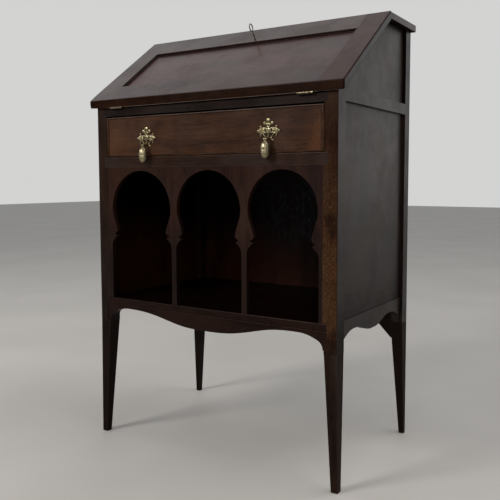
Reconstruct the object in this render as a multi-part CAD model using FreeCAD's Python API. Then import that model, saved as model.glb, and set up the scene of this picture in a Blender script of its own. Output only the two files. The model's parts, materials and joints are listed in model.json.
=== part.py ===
import FreeCAD, Part
import math
import os

# Slant-front writing desk on four tapered legs, in millimetres.
# X runs across the front, +Y to the back, +Z up. The floor is z = 0.
# Inside this file y = 0 is the front face of the front posts; each piece
# is moved at the end so that the origin is the middle of the base.

os.makedirs("parts", exist_ok=True)
V = FreeCAD.Vector

# Overall sizes of the carcase
overall_h = 960.0
post_span_w = 626.0
case_d = 373.0
overrun = 5.0
rest_gap = 0.3
run_gap = 0.6
hole_gap = 0.15
tiny = 0.002
left_right = (("left", -1), ("right", 1))

# Heights, from the top board down; the legs take up what is left
desk_part_h = 188.6
top_rail_h = 18.4
drawer_open_h = 94.0
drawer_rail_h = 23.0
fret_h = 305.0
leg_start_drop = 59.0

# Posts and legs
front_post_w = 28.0
front_post_d = 32.0
rear_post_w = 30.0
rear_post_d = 26.0
front_foot = 15.0
rear_foot = 12.0
front_splay = 4.0
rear_splay = 1.5
arris_r = 1.5
inner_arris_r = 1.2

# Face frame let into the front posts
let_in_w = 7.0
let_in_d = 12.0
rail_d = 20.0
shelf_t = 16.0
shelf_nose = 3.0
apron_set_back = 1.0
front_dip = 26.0
side_dip = 16.5
front_bracket_w = 58.0
side_bracket_w = 60.0
front_bracket_h = 29.5
side_bracket_h = 34.0
front_hump_drop = 7.5
side_hump_drop = 8.0
bracket_lean_deg = 45.0
bracket_toe = 3.0

# Fret with three arches
fret_t = 10.0
column_w = 12.5
left_column_w = 12.6
right_column_w = 11.0
arch_step = 6.5
arch_head = 8.0
crown_inset = 2.5
neck_inset = 16.5
neck_drop = 53.0
lip_h = 13.0
lip_notch_w = 13.0
lip_tail_w = 1.9
waist_drop = 3.2
shoulder_drop = 23.0
arch_count = 3

# Side frames
panel_t = 8.0
panel_set_back = 8.0
side_apron_t = 16.0
side_apron_set_back = 6.5
mid_rail_h = 24.0
mid_rail_t = 18.0
mid_rail_above_bed = 8.6

# Boards
bed_t = 12.0
dust_board_t = 6.0
rear_apron_t = 14.0
rear_apron_h = 20.0
rear_brace = 65.0
back_t = 7.0
back_margin = 2.0
top_board_over_side = 11.5
top_board_t = 14.0
top_board_corner_r = 5.0

# Fall front
slope_deg = 37.06
fall_over_side = 14.5
fall_t = 16.0
nose_arris_r = 4.0
hinge_out = 5.4
fall_stile_w = 53.5
fall_bottom_rail_w = 69.8
fall_top_rail_w = 65.0
fall_panel_t = 8.0
inset_t = 1.6
inset_sink = 0.4
moulding_w = 6.0
moulding_h = 4.6
moulding_lip = 1.2

# Hinges of the fall
hinge_from_end = 81.5
hinge_len = 35.5
leaf_w = 18.0
leaf_t = 1.6
knuckle_r = 2.5
knuckle_count = 5
hinge_pin_r = 1.2
pin_fit = 0.05

# Lock and key
key_x = 14.0
key_from_top = 52.0
lock_w = 44.0
lock_h = 8.6
lock_wall = 1.5
lock_from_panel = 4.0
bolt_w = 14.0
bolt_t = 4.0
bolt_len = 30.0
bolt_throw = 6.0
keeper_w = 32.0
keeper_t = 1.5
keeper_border = 2.2
key_shank_r = 1.9
key_standing = 19.0
key_bow_w = 14.5
key_bow_h = 19.0
key_wire_r = 1.4
key_bit_len = 6.0
key_bit_t = 1.8
key_bit_h = 3.5
keyhole_r = 2.4

# Drawer
drawer_gap = 1.0
drawer_top_gap = 3.5
drawer_front_t = 20.0
drawer_front_y = 0.6
bead_w = 8.0
bead_h = 3.2
bead_proud = 1.4
drawer_side_t = 9.0
drawer_from_back = 32.0
drawer_side_drop = 4.0
drawer_bottom_t = 5.0
drawer_bottom_up = 6.0
drawer_side_inset = 6.0
runner_w = 30.0
runner_h = 14.0
guide_h = 12.0
stop_w = 40.0
stop_d = 12.0
stop_h = 4.6
stop_from_end = 134.0

# Drop handles
handle_from_end = 123.5
handle_up = 44.5
left_handle_drop = 3.5
plate_t = 2.2
plate_reach = 22.5
plate_rise = 19.5
lobe_r = 4.4
bud_r = 3.0
bud_out = 8.0
bud_in = 5.0
plate_hub_r = 7.5
plate_bar_w = 5.0
prong_x = 9.5
prong_drop = 17.5
prong_r = 2.8
pierce_r = 1.5
drop_axis_y = 12.0
drop_axis_drop = 16.6
lug_t = 1.6
lug_r = 3.0
lug_gap = 1.9
drop_pin_r = 1.0
drop_neck = 3.4
acorn_h = 36.0
acorn_r = 9.9
acorn_ring_r = 10.3
acorn_ring_h = 1.4
handle_bolt_r = 2.0
handle_dome_r = 4.0
handle_dome_h = 1.6
nut_r = 5.5
nut_h = 3.0

# Elbow stays of the fall
stay_fall_s = 130.0
stay_fall_drop = 8.0
stay_case_y = 94.6
stay_case_up = 9.0
stay_w = 11.0
stay_t = 2.6
stay_case_inset = 3.0
stay_plane_gap = 1.8
stay_pin_r = 2.0
stay_head_r = 3.2
stay_head_t = 1.1
stay_plate_t = 2.4
stay_plate_w = 15.0
stay_foot_w = 24.0
stay_foot_t = 1.5

# Pigeonholes behind the fall
divider_t = 7.0
divider_set_back = 24.6
divider_count = 2
pigeon_shelf_t = 6.0
pigeon_shelf_up = 84.0

# Places worked out from the sizes above
half_span = post_span_w / 2
bed_top = overall_h - desk_part_h
drawer_top = bed_top - top_rail_h
drawer_rail_top = drawer_top - drawer_open_h
fret_top = drawer_rail_top - drawer_rail_h
shelf_top = fret_top - fret_h
leg_h = shelf_top - leg_start_drop
board_under = overall_h - top_board_t
front_inner_x = half_span - front_post_w
rear_inner_x = half_span - rear_post_w
rear_front_y = case_d - rear_post_d
panel_out_x = half_span - panel_set_back
panel_in_x = panel_out_x - panel_t
apron_out_x = half_span - side_apron_set_back
apron_in_x = apron_out_x - side_apron_t
face_half_w = front_inner_x + let_in_w
mid_rail_top = bed_top + mid_rail_above_bed
mid_rail_bottom = mid_rail_top - mid_rail_h
arch_w = (2 * front_inner_x - left_column_w - right_column_w - (arch_count - 1) * column_w) / arch_count
arch_crown = fret_top - arch_head
arch_neck = arch_crown - arch_w / 2 + crown_inset - neck_drop
slope = math.radians(slope_deg)
fall_len = (desk_part_h - fall_t * math.cos(slope)) / math.sin(slope)
fall_half_w = half_span + fall_over_side
hinge_x = fall_half_w - hinge_from_end
divider_front_y = fall_len * math.cos(slope) - hinge_out + divider_set_back
fall_open_deg = 180 - slope_deg
panel_half_w = fall_half_w - fall_stile_w
panel_low_s = fall_bottom_rail_w
panel_high_s = fall_len - fall_top_rail_w
panel_low_h = inset_sink + inset_t
panel_high_h = panel_low_h + fall_panel_t
hinge_clear_r = knuckle_r + rest_gap
key_s = fall_len - key_from_top
lock_low_s = panel_high_s + lock_from_panel
lock_high_s = fall_len - rest_gap
bolt_low_h = inset_sink + lock_wall + rest_gap
drawer_half_w = front_inner_x - drawer_gap
drawer_len = case_d - drawer_from_back
handle_x = drawer_half_w - handle_from_end
handle_z = drawer_rail_top + handle_up
stop_x = drawer_half_w - stop_from_end
drawer_floor = drawer_rail_top + drawer_gap
drawer_ceiling = drawer_top - drawer_top_gap
back_y = case_d + back_t
handle_front_y = drawer_front_y - plate_t
drop_axis_z = handle_z - drop_axis_drop
acorn_front_y = -drop_axis_y - acorn_ring_r
origin_y = (back_y + acorn_front_y) / 2
stay_case_x = front_inner_x - stay_case_inset
stay_fall_x = stay_case_x - stay_t - stay_plane_gap
reach = 2 * (post_span_w + overall_h)
lock_hole_h = lock_h - lock_wall - rest_gap
apron_low_z = shelf_top - shelf_t - front_hump_drop - front_bracket_h


def box(x0, x1, y0, y1, z0, z1):
    return Part.makeBox(x1 - x0, y1 - y0, z1 - z0, V(x0, y0, z0))


def two_sided(side, x_in, x_out, y0, y1, z0, z1):
    low, high = sorted((side * x_in, side * x_out))
    return box(low, high, y0, y1, z0, z1)


def prism_across(points, x0, x1):
    ring = [V(x0, y, z) for y, z in points]
    face = Part.Face(Part.makePolygon(ring + ring[:1]))
    return face.extrude(V(x1 - x0, 0, 0))


def rod(radius, start, direction, length):
    return Part.makeCylinder(radius, length, start, direction)


def on_slope(shape):
    moved = shape.copy()
    moved.rotate(V(0, 0, 0), V(1, 0, 0), slope_deg)
    moved.translate(V(0, -hinge_out, bed_top))
    return moved


def slope_y(along, out):
    return along * math.cos(slope) - out * math.sin(slope) - hinge_out


def slope_z(along, out):
    return bed_top + along * math.sin(slope) + out * math.cos(slope)


def both_sides(maker):
    return Part.makeCompound([maker(side) for name, side in left_right])


def under_slope(shape):
    above = box(-reach, reach, -reach, reach, -rest_gap, reach)
    return shape.cut(on_slope(above))


def save(name, shape):
    placed = shape.copy()
    placed.translate(V(0, -origin_y, 0))
    placed.exportStep("parts/" + name + ".step")
    flag = "" if placed.isValid() else "  NOT VALID"
    print(name, len(placed.Solids), round(placed.Volume), flag)


# Legs and posts

def rounded_section(x_out, y_out, x_sign, y_sign, w, d, z, r_outer):
    corners = [(x_out, y_out), (x_out - x_sign * w, y_out),
               (x_out - x_sign * w, y_out + y_sign * d), (x_out, y_out + y_sign * d)]
    radii = (r_outer, inner_arris_r, inner_arris_r, inner_arris_r)
    edges = []
    joints = []
    for i, (x, y) in enumerate(corners):
        here = V(x, y, z)
        before = V(corners[i - 1][0], corners[i - 1][1], z) - here
        after = V(corners[(i + 1) % 4][0], corners[(i + 1) % 4][1], z) - here
        before.normalize()
        after.normalize()
        r = radii[i]
        centre = here + before * r + after * r
        inward = here - centre
        inward.normalize()
        joints.append((here + before * r, centre + inward * r, here + after * r))
    for i, (start, middle, end) in enumerate(joints):
        edges.append(Part.Arc(start, middle, end).toShape())
        nxt = joints[(i + 1) % 4][0]
        edges.append(Part.LineSegment(end, nxt).toShape())
    return Part.Wire(edges)


def leg(x_sign, y_out, y_sign, w, d, foot, splay, top):
    x_out = x_sign * half_span
    low = rounded_section(x_out + x_sign * splay, y_out, x_sign, y_sign, foot, foot, 0, arris_r)
    high = rounded_section(x_out, y_out, x_sign, y_sign, w, d, leg_h, arris_r)
    tapered = Part.makeLoft([low, high], True, True)
    y_in = y_out + y_sign * d
    post = two_sided(x_sign, half_span - w, half_span, min(y_out, y_in), max(y_out, y_in), leg_h, top)
    corner = [e for e in post.Edges if e.Length > w + d
              and abs(e.CenterOfMass.x - x_out) < tiny
              and abs(e.CenterOfMass.y - y_out) < tiny]
    post = post.makeFillet(arris_r, corner)
    return post.fuse(tapered).removeSplitter()


def front_leg(side):
    top = bed_top + (front_post_d + hinge_out) * math.tan(slope)
    shape = under_slope(leg(side, 0, 1, front_post_w, front_post_d, front_foot, front_splay, top))
    lower = two_sided(side, front_inner_x - overrun, face_half_w, -overrun, let_in_d,
                      apron_low_z, drawer_rail_top)
    upper = two_sided(side, front_inner_x - overrun, face_half_w, -overrun, let_in_d,
                      drawer_top, bed_top)
    return shape.cut(lower).cut(upper)


def rear_leg(side):
    return leg(side, case_d, -1, rear_post_w, rear_post_d, rear_foot, rear_splay, board_under)


# Aprons with a shaped lower edge

def shaped_edge(half_w, hump_z, dip, bracket_w, bracket_h, fixed, across):
    def point(u, z):
        return V(u, fixed, z) if across else V(fixed, u, z)
    wave_shares = (0, 0.3, 0.62, 1)
    rise_shares = (0, 0.13, 0.7, 1)
    hump = half_w - bracket_w
    right = [point(hump * a, hump_z - dip * (1 - b)) for a, b in zip(wave_shares, rise_shares)]
    left = [point(-p.x if across else -p.y, p.z) for p in right[:0:-1]]
    wave = Part.BSplineCurve()
    start = point(bracket_w, 0) - point(0, 0)
    wave.interpolate(Points=left + right, InitialTangent=start, FinalTangent=start)
    lean = math.cos(math.radians(bracket_lean_deg))
    edges = [wave.toShape()]
    for sign in (-1, 1):
        top = point(sign * hump, hump_z)
        mid = point(sign * (hump + bracket_w * lean), hump_z - bracket_h * (1 - lean))
        low = point(sign * half_w, hump_z - bracket_h)
        curve = Part.BSplineCurve()
        curve.interpolate(Points=[top, mid, low], InitialTangent=point(sign * bracket_w, 0) - point(0, 0),
                          FinalTangent=point(0, -bracket_h) - point(0, 0))
        edges.append(curve.toShape())
    return edges, point


def apron(half_w, inner_half_w, top_z, hump_drop, dip, bracket_w, bracket_h, fixed, thickness, across):
    hump_z = top_z - hump_drop
    low_z = hump_z - bracket_h
    toe_half_w = inner_half_w - bracket_toe
    edges, point = shaped_edge(toe_half_w, hump_z, dip, bracket_w, bracket_h, fixed, across)
    corners = [point(-toe_half_w, low_z), point(-half_w, low_z), point(-half_w, top_z),
               point(half_w, top_z), point(half_w, low_z), point(toe_half_w, low_z)]
    for a, b in zip(corners, corners[1:]):
        edges.append(Part.LineSegment(a, b).toShape())
    wire = Part.Wire(Part.__sortEdges__(edges))
    direction = V(0, thickness, 0) if across else V(thickness, 0, 0)
    return Part.Face(wire).extrude(direction)


def front_apron_layer(half_w, y0, y1):
    return apron(half_w, front_inner_x, shelf_top - shelf_t, front_hump_drop, front_dip,
                 front_bracket_w, front_bracket_h, y0, y1 - y0, True)


def front_apron():
    let_in = front_apron_layer(face_half_w, apron_set_back, let_in_d)
    return let_in.fuse(front_apron_layer(front_inner_x, let_in_d, rail_d)).removeSplitter()


def rear_apron():
    top = shelf_top - shelf_t
    edge_z = top - rear_apron_h
    low_z = edge_z - rear_brace
    toe = rear_inner_x - bracket_toe
    right = [(toe - rear_brace, edge_z), (toe, low_z), (rear_inner_x, low_z), (rear_inner_x, top)]
    y0 = case_d - rear_apron_t
    ring = [V(x, y0, z) for x, z in right] + [V(-x, y0, z) for x, z in right[::-1]]
    return Part.Face(Part.makePolygon(ring + ring[:1])).extrude(V(0, rear_apron_t, 0))


def side_apron(side):
    middle = (front_post_d + rear_front_y) / 2
    half = (rear_front_y - front_post_d) / 2
    top = shelf_top
    start_x = apron_in_x if side > 0 else -apron_out_x
    shape = apron(half, half, top, side_hump_drop + shelf_t, side_dip, side_bracket_w,
                  side_bracket_h, start_x, side_apron_t, False)
    shape.translate(V(0, middle, 0))
    return shape


# Shelf, rails and boards

def faced_board(rear_y, z0, z1):
    face = box(-face_half_w, face_half_w, 0, let_in_d, z0, z1)
    body = box(-front_inner_x, front_inner_x, let_in_d, rear_y, z0, z1)
    return face.fuse(body).removeSplitter()


def shelf_board():
    z0 = shelf_top - shelf_t
    front = faced_board(front_post_d, z0, shelf_top)
    nose = [e for e in front.Edges if abs(e.CenterOfMass.y) < tiny and e.Length > half_span]
    front = front.makeFillet(shelf_nose, nose)
    middle = box(-apron_in_x, apron_in_x, front_post_d, rear_front_y, z0, shelf_top)
    back = box(-rear_inner_x, rear_inner_x, rear_front_y, case_d, z0, shelf_top)
    return front.fuse([middle, back]).removeSplitter()


def drawer_rail():
    return faced_board(rail_d, fret_top, drawer_rail_top)


def hinge_span(centre, extra):
    half = hinge_len / 2 + extra
    return centre - half, centre + half


def top_front_rail():
    shape = faced_board(rail_d, drawer_top, bed_top)
    for centre in (-hinge_x, hinge_x):
        x0, x1 = hinge_span(centre, hole_gap)
        shape = shape.cut(box(x0, x1, -overrun, leaf_w - hinge_out + hole_gap, bed_top - leaf_t,
                              bed_top + overrun))
    return shape


def writing_bed():
    z0 = bed_top - bed_t
    inner_x = half_span - mid_rail_t
    front = box(-front_inner_x, front_inner_x, rail_d, front_post_d, z0, bed_top)
    middle = box(-inner_x, inner_x, front_post_d, rear_front_y, z0, bed_top)
    back = box(-rear_inner_x, rear_inner_x, rear_front_y, case_d, z0, bed_top)
    return front.fuse([middle, back]).removeSplitter()


def dust_board():
    z0 = drawer_rail_top - runner_h - dust_board_t
    front = box(-front_inner_x, front_inner_x, rail_d, front_post_d, z0, z0 + dust_board_t)
    middle = box(-panel_in_x, panel_in_x, front_post_d, rear_front_y, z0, z0 + dust_board_t)
    back = box(-rear_inner_x, rear_inner_x, rear_front_y, case_d, z0, z0 + dust_board_t)
    return front.fuse([middle, back]).removeSplitter()


def top_board():
    half = half_span + top_board_over_side
    front_s = fall_len + run_gap
    high_y = front_s / math.cos(slope) - desk_part_h * math.tan(slope) - hinge_out
    low_y = high_y + top_board_t * math.tan(slope)
    outline = [(high_y, overall_h), (low_y, board_under), (back_y, board_under), (back_y, overall_h)]
    shape = prism_across(outline, -half, half)
    corners = [e for e in shape.Edges if abs(e.CenterOfMass.y - back_y) < tiny
               and abs(e.Length - top_board_t) < tiny]
    shape = shape.makeFillet(top_board_corner_r, corners)
    pocket = box(key_x - keeper_w / 2 - hole_gap, key_x + keeper_w / 2 + hole_gap, front_s - overrun,
                 front_s + keeper_t, bolt_low_h - keeper_border - hole_gap,
                 bolt_low_h + bolt_t + keeper_border + hole_gap)
    mortise = bolt_way(front_s - overrun, front_s + bolt_throw + keeper_t, run_gap, rest_gap)
    return shape.cut(on_slope(pocket)).cut(on_slope(mortise))


# Fret of three keyhole arches

def arch_hole(centre, width):
    straight = width / 2
    arch_r = straight - crown_inset
    neck_half_w = straight - neck_inset
    crown = arch_crown
    spring = crown - arch_r
    neck = arch_neck
    lip_top = neck - lip_h / 2
    lip_low = neck - lip_h

    def point(side, u, z):
        return V(centre + side * u, 0, z)

    shoulder = lip_low - shoulder_drop
    low = shelf_top - overrun
    edges = [Part.Arc(point(-1, arch_r, spring), V(centre, 0, crown), point(1, arch_r, spring)).toShape()]
    for side in (-1, 1):
        curve = Part.BSplineCurve()
        curve.interpolate(Points=[point(side, arch_r, spring),
                                  point(side, (arch_r + neck_half_w) / 2, (spring + neck) / 2 - waist_drop),
                                  point(side, neck_half_w, neck)],
                          InitialTangent=V(0, 0, -arch_r), FinalTangent=V(-side * lip_h, 0, -arch_r))
        edges.append(curve.toShape())
        notch = neck_half_w + lip_notch_w
        tail_u = neck_half_w + lip_tail_w
        edges.append(Part.Arc(point(side, neck_half_w, neck),
                              point(side, neck_half_w + lip_notch_w / 2, neck - lip_h / 2),
                              point(side, notch, lip_top)).toShape())
        edges.append(Part.LineSegment(point(side, notch, lip_top), point(side, tail_u, lip_low)).toShape())
        tail = Part.BSplineCurve()
        tail.interpolate(Points=[point(side, tail_u, lip_low), point(side, straight, shoulder)],
                         InitialTangent=V(side * lip_notch_w, 0, -lip_notch_w),
                         FinalTangent=V(0, 0, -shoulder_drop))
        edges.append(tail.toShape())
        edges.append(Part.LineSegment(point(side, straight, shoulder),
                                      point(side, straight, low)).toShape())
    edges.append(Part.LineSegment(point(-1, straight, low), point(1, straight, low)).toShape())
    face = Part.Face(Part.Wire(Part.__sortEdges__(edges)))
    hole = face.extrude(V(0, fret_t + 2 * overrun, 0))
    hole.translate(V(0, -overrun, 0))
    return hole


def arch_fret():
    shape = box(-face_half_w, face_half_w, 0, fret_t, shelf_top, fret_top)
    start = -front_inner_x + left_column_w
    for i in range(arch_count):
        width = arch_w + (arch_count / 2 - i) * arch_step - arch_step / 2
        shape = shape.cut(arch_hole(start + width / 2, width))
        start += width + column_w
    return shape


# Sides

def side_mid_rail(side):
    return two_sided(side, half_span - mid_rail_t, half_span, front_post_d, rear_front_y,
                     mid_rail_bottom, mid_rail_top)


def side_lower_panel(side):
    return two_sided(side, panel_in_x, panel_out_x, front_post_d, rear_front_y, shelf_top, mid_rail_bottom)


def sloped_side(side, x_in, x_out, z0):
    shape = two_sided(side, x_in, x_out, front_post_d, rear_front_y, z0, board_under)
    return under_slope(shape)


def side_upper_panel(side):
    return sloped_side(side, panel_in_x, panel_out_x, mid_rail_top)


def side_lining(side):
    low = sloped_side(side, front_inner_x, panel_in_x, mid_rail_top)
    foot = two_sided(side, front_inner_x, half_span - mid_rail_t, front_post_d, rear_front_y,
                     bed_top, mid_rail_top)
    return low.fuse(foot).removeSplitter()


def back_panel():
    half = half_span - back_margin
    return box(-half, half, case_d, back_y, shelf_top - shelf_t, board_under)


# Pigeonholes

def divider_places():
    bay = 2 * rear_inner_x / (divider_count + 1)
    return [-rear_inner_x + bay * (i + 1) for i in range(divider_count)]


def pigeon_divider(centre):
    half = divider_t / 2
    return box(centre - half, centre + half, divider_front_y, case_d, bed_top, board_under)


def pigeon_shelf(index):
    walls = [-rear_inner_x - divider_t / 2] + divider_places() + [rear_inner_x + divider_t / 2]
    x0 = walls[index] + divider_t / 2
    x1 = walls[index + 1] - divider_t / 2
    z0 = bed_top + pigeon_shelf_up
    return box(x0, x1, divider_front_y, case_d, z0, z0 + pigeon_shelf_t)


# Drawer and its runs

def at_handle(side, shape):
    moved = shape.copy()
    moved.translate(V(0, 0, 0 if side > 0 else -left_handle_drop))
    return moved


def drawer_bead():
    y0 = drawer_front_y - bead_proud
    y1 = drawer_front_y + drawer_front_t
    outer = box(-drawer_half_w, drawer_half_w, y0, y1, drawer_floor, drawer_ceiling)
    inner = box(-drawer_half_w + bead_w, drawer_half_w - bead_w, y0 - overrun, y1 + overrun,
                drawer_floor + bead_h, drawer_ceiling - bead_h)
    return outer.cut(inner)


def drawer_front():
    half = drawer_half_w - bead_w
    shape = box(-half, half, drawer_front_y, drawer_front_y + drawer_front_t,
                drawer_floor + bead_h, drawer_ceiling - bead_h)
    for side in (-1, 1):
        hole = rod(handle_bolt_r + hole_gap, V(side * handle_x, drawer_front_y - overrun, handle_z),
                   V(0, 1, 0), drawer_front_t + 2 * overrun)
        shape = shape.cut(at_handle(side, hole))
    return shape


def drawer_side(side):
    outer = drawer_half_w - drawer_side_inset
    y0 = drawer_front_y + drawer_front_t
    return two_sided(side, outer - drawer_side_t, outer, y0, drawer_len,
                     drawer_rail_top + rest_gap, drawer_ceiling - drawer_side_drop)


def drawer_inner_half():
    return drawer_half_w - drawer_side_inset - drawer_side_t


def drawer_back():
    half = drawer_inner_half()
    z0 = drawer_floor + drawer_bottom_up + drawer_bottom_t
    return box(-half, half, drawer_len - drawer_side_t, drawer_len, z0, drawer_ceiling - drawer_side_drop)


def drawer_bottom():
    half = drawer_inner_half()
    z0 = drawer_floor + drawer_bottom_up
    return box(-half, half, drawer_front_y + drawer_front_t, drawer_len, z0, z0 + drawer_bottom_t)


def drawer_runner(side):
    z0 = drawer_rail_top - runner_h
    inner = panel_in_x - runner_w
    guide_in = drawer_half_w - drawer_side_inset + run_gap
    front = two_sided(side, inner, front_inner_x, rail_d, front_post_d, z0, drawer_rail_top)
    middle = two_sided(side, inner, panel_in_x, front_post_d, rear_front_y, z0, drawer_rail_top)
    guide = two_sided(side, guide_in, panel_in_x, front_post_d, rear_front_y,
                      drawer_rail_top, drawer_rail_top + guide_h)
    return front.fuse([middle, guide]).removeSplitter()


def drawer_stops():
    y0 = drawer_front_y + drawer_front_t + rest_gap
    y1 = y0 + stop_d
    blocks = []
    for side in (-1, 1):
        x0 = side * stop_x - stop_w / 2
        top = box(x0, x0 + stop_w, y0, y1, drawer_rail_top, drawer_rail_top + stop_h)
        foot = box(x0, x0 + stop_w, rail_d, y1, drawer_rail_top - runner_h, drawer_rail_top)
        blocks.append(top.fuse(foot).removeSplitter())
    return Part.makeCompound(blocks)


# Drop handles

def plate_disc(centre_x, x, z, r):
    return rod(r, V(centre_x + x, handle_front_y, handle_z + z), V(0, 1, 0), plate_t)


def plate_box(centre_x, x0, x1, z0, z1):
    return box(centre_x + x0, centre_x + x1, handle_front_y, drawer_front_y, handle_z + z0, handle_z + z1)


def plate_drill(centre_x, x, z, r):
    start = V(centre_x + x, handle_front_y - overrun, handle_z + z)
    return rod(r, start, V(0, 1, 0), plate_t + 2 * overrun)


def plate_prong(centre_x, sign):
    path_deg = math.degrees(math.atan2(prong_x, prong_drop))
    path = math.hypot(prong_x, prong_drop)
    strut = box(-prong_r / 2, prong_r / 2, handle_front_y, drawer_front_y, -path, 0)
    strut.rotate(V(0, 0, 0), V(0, 1, 0), -sign * path_deg)
    strut.translate(V(centre_x, 0, handle_z))
    return strut.fuse(plate_disc(centre_x, sign * prong_x, -prong_drop, prong_r))


def handle_plate(side):
    x = side * handle_x
    bar = plate_bar_w / 2
    thin = bud_r / 2
    bud_z = plate_rise - bud_in
    pieces = [plate_box(x, -plate_reach, plate_reach, -bar, bar), plate_box(x, -bar, bar, 0, plate_rise),
              plate_box(x, -bud_out, bud_out, bud_z - thin, bud_z + thin),
              plate_disc(x, 0, plate_rise, lobe_r)]
    drills = [plate_drill(x, 0, plate_rise, pierce_r), plate_drill(x, 0, 0, handle_bolt_r + hole_gap)]
    for sign in (-1, 1):
        arm_x = sign * (plate_reach - bud_in)
        pieces += [plate_disc(x, sign * bud_out, bud_z, bud_r), plate_disc(x, sign * plate_reach, 0, lobe_r),
                   plate_disc(x, arm_x, bud_out, bud_r), plate_disc(x, arm_x, -bud_out, bud_r),
                   plate_box(x, arm_x - thin, arm_x + thin, -bud_out, bud_out), plate_prong(x, sign)]
        drills.append(plate_drill(x, sign * plate_reach, 0, pierce_r))
    shape = plate_disc(x, 0, 0, plate_hub_r).fuse(pieces + handle_lugs(x))
    return at_handle(side, shape.cut(drills).removeSplitter())


def handle_lugs(centre_x):
    outer = lug_gap + lug_t
    pieces = [plate_box(centre_x, -outer, outer, -drop_axis_drop - lug_r, -plate_hub_r / 2)]
    for x0 in (centre_x - outer, centre_x + lug_gap):
        pieces.append(box(x0, x0 + lug_t, -drop_axis_y, handle_front_y,
                          drop_axis_z - lug_r, drop_axis_z + lug_r))
        pieces.append(rod(lug_r, V(x0, -drop_axis_y, drop_axis_z), V(1, 0, 0), lug_t))
    pin_half = lug_gap + lug_t / 2
    start = V(centre_x - pin_half, -drop_axis_y, drop_axis_z)
    return pieces + [rod(drop_pin_r, start, V(1, 0, 0), 2 * pin_half)]


def acorn(x, top):
    radius_shares = (0.32, 0.72, 0.98)
    height_shares = (0, 0.14, 0.4)
    ring_share = 0.55
    belly_share = 0.875

    def point(out, down):
        return V(x + out, -drop_axis_y, top - down)

    ring_down = acorn_h * ring_share
    ring_low = ring_down + acorn_ring_h
    shoulder = [point(acorn_r * a, acorn_h * b) for a, b in zip(radius_shares, height_shares)]
    ring = [point(acorn_r, ring_down), point(acorn_ring_r, ring_down),
            point(acorn_ring_r, ring_low), point(acorn_r, ring_low)]
    tip = point(0, acorn_h)
    upper = Part.BSplineCurve()
    upper.interpolate(Points=shoulder + ring[:1])
    lower = Part.BSplineCurve()
    lower.interpolate(Points=[ring[3], point(acorn_r * radius_shares[1], acorn_h * belly_share), tip],
                      InitialTangent=V(0, 0, -acorn_r), FinalTangent=V(-acorn_r, 0, 0))
    edges = [Part.LineSegment(point(0, 0), shoulder[0]).toShape(), upper.toShape()]
    edges += [Part.LineSegment(a, b).toShape() for a, b in zip(ring, ring[1:])]
    edges += [lower.toShape(), Part.LineSegment(tip, point(0, 0)).toShape()]
    face = Part.Face(Part.Wire(edges))
    return face.revolve(V(x, -drop_axis_y, 0), V(0, 0, 1), 360)


def handle_drop(side):
    x = side * handle_x
    top = drop_axis_z - drop_neck
    neck_half = lug_gap - rest_gap
    neck = box(x - neck_half, x + neck_half, -drop_axis_y - neck_half, -drop_axis_y + neck_half,
               top - drop_neck / 2, drop_axis_z)
    eye = rod(lug_r - rest_gap, V(x - neck_half, -drop_axis_y, drop_axis_z), V(1, 0, 0), 2 * neck_half)
    hole = rod(drop_pin_r + pin_fit, V(x - overrun, -drop_axis_y, drop_axis_z), V(1, 0, 0), 2 * overrun)
    return at_handle(side, acorn(x, top).fuse([neck, eye]).cut(hole).removeSplitter())


def handle_bolt(side):
    x = side * handle_x
    back = drawer_front_y + drawer_front_t
    shank = rod(handle_bolt_r, V(x, handle_front_y - handle_dome_h, handle_z), V(0, 1, 0),
                back + nut_h + handle_dome_h - handle_front_y)
    dome = rod(handle_dome_r, V(x, handle_front_y - handle_dome_h, handle_z), V(0, 1, 0), handle_dome_h)
    nut = rod(nut_r, V(x, back, handle_z), V(0, 1, 0), nut_h)
    return at_handle(side, shank.fuse([dome, nut]).removeSplitter())


# Fall front, drawn flat (X across, Y up the slope, Z outward) and then tilted

def fall_slab():
    edge = fall_t * math.tan(slope)
    outline = [(0, 0), (fall_len, 0), (fall_len, fall_t), (edge, fall_t)]
    slab = prism_across(outline, -fall_half_w, fall_half_w)
    arris = [e for e in slab.Edges if abs(e.CenterOfMass.y - edge) < tiny and e.Length > half_span]
    return slab.makeFillet(nose_arris_r, arris)


def fall_stile(side):
    keep = two_sided(side, panel_half_w, fall_half_w + overrun, -overrun, fall_len + overrun,
                     -overrun, fall_t + overrun)
    return on_slope(fall_slab().common(keep))


def fall_bottom_rail():
    keep = box(-panel_half_w, panel_half_w, -overrun, panel_low_s, -overrun, fall_t + overrun)
    shape = fall_slab().common(keep)
    for centre in (-hinge_x, hinge_x):
        x0, x1 = hinge_span(centre, hole_gap)
        shape = shape.cut(rod(hinge_clear_r, V(x0, 0, 0), V(1, 0, 0), x1 - x0))
        shape = shape.cut(box(x0, x1, -overrun, leaf_w + hole_gap, -overrun, leaf_t))
    return on_slope(shape)


def fall_top_rail():
    keep = box(-panel_half_w, panel_half_w, panel_high_s, fall_len + overrun, -overrun, fall_t + overrun)
    shape = fall_slab().common(keep)
    pocket = box(key_x - lock_w / 2 - hole_gap, key_x + lock_w / 2 + hole_gap, lock_low_s - hole_gap,
                 fall_len + overrun, -overrun, lock_h + hole_gap)
    hole = rod(keyhole_r, V(key_x, key_s, 0), V(0, 0, 1), fall_t + overrun)
    slot = bit_box(rest_gap, rest_gap, 0, fall_t + overrun)
    return on_slope(shape.cut(pocket).cut(hole).cut(slot))


def fall_panel():
    return on_slope(box(-panel_half_w, panel_half_w, panel_low_s, panel_high_s, panel_low_h, panel_high_h))


def rectangle(half_w, s0, s1, h):
    ring = [V(-half_w, s0, h), V(half_w, s0, h), V(half_w, s1, h), V(-half_w, s1, h)]
    return Part.makePolygon(ring + ring[:1])


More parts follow.
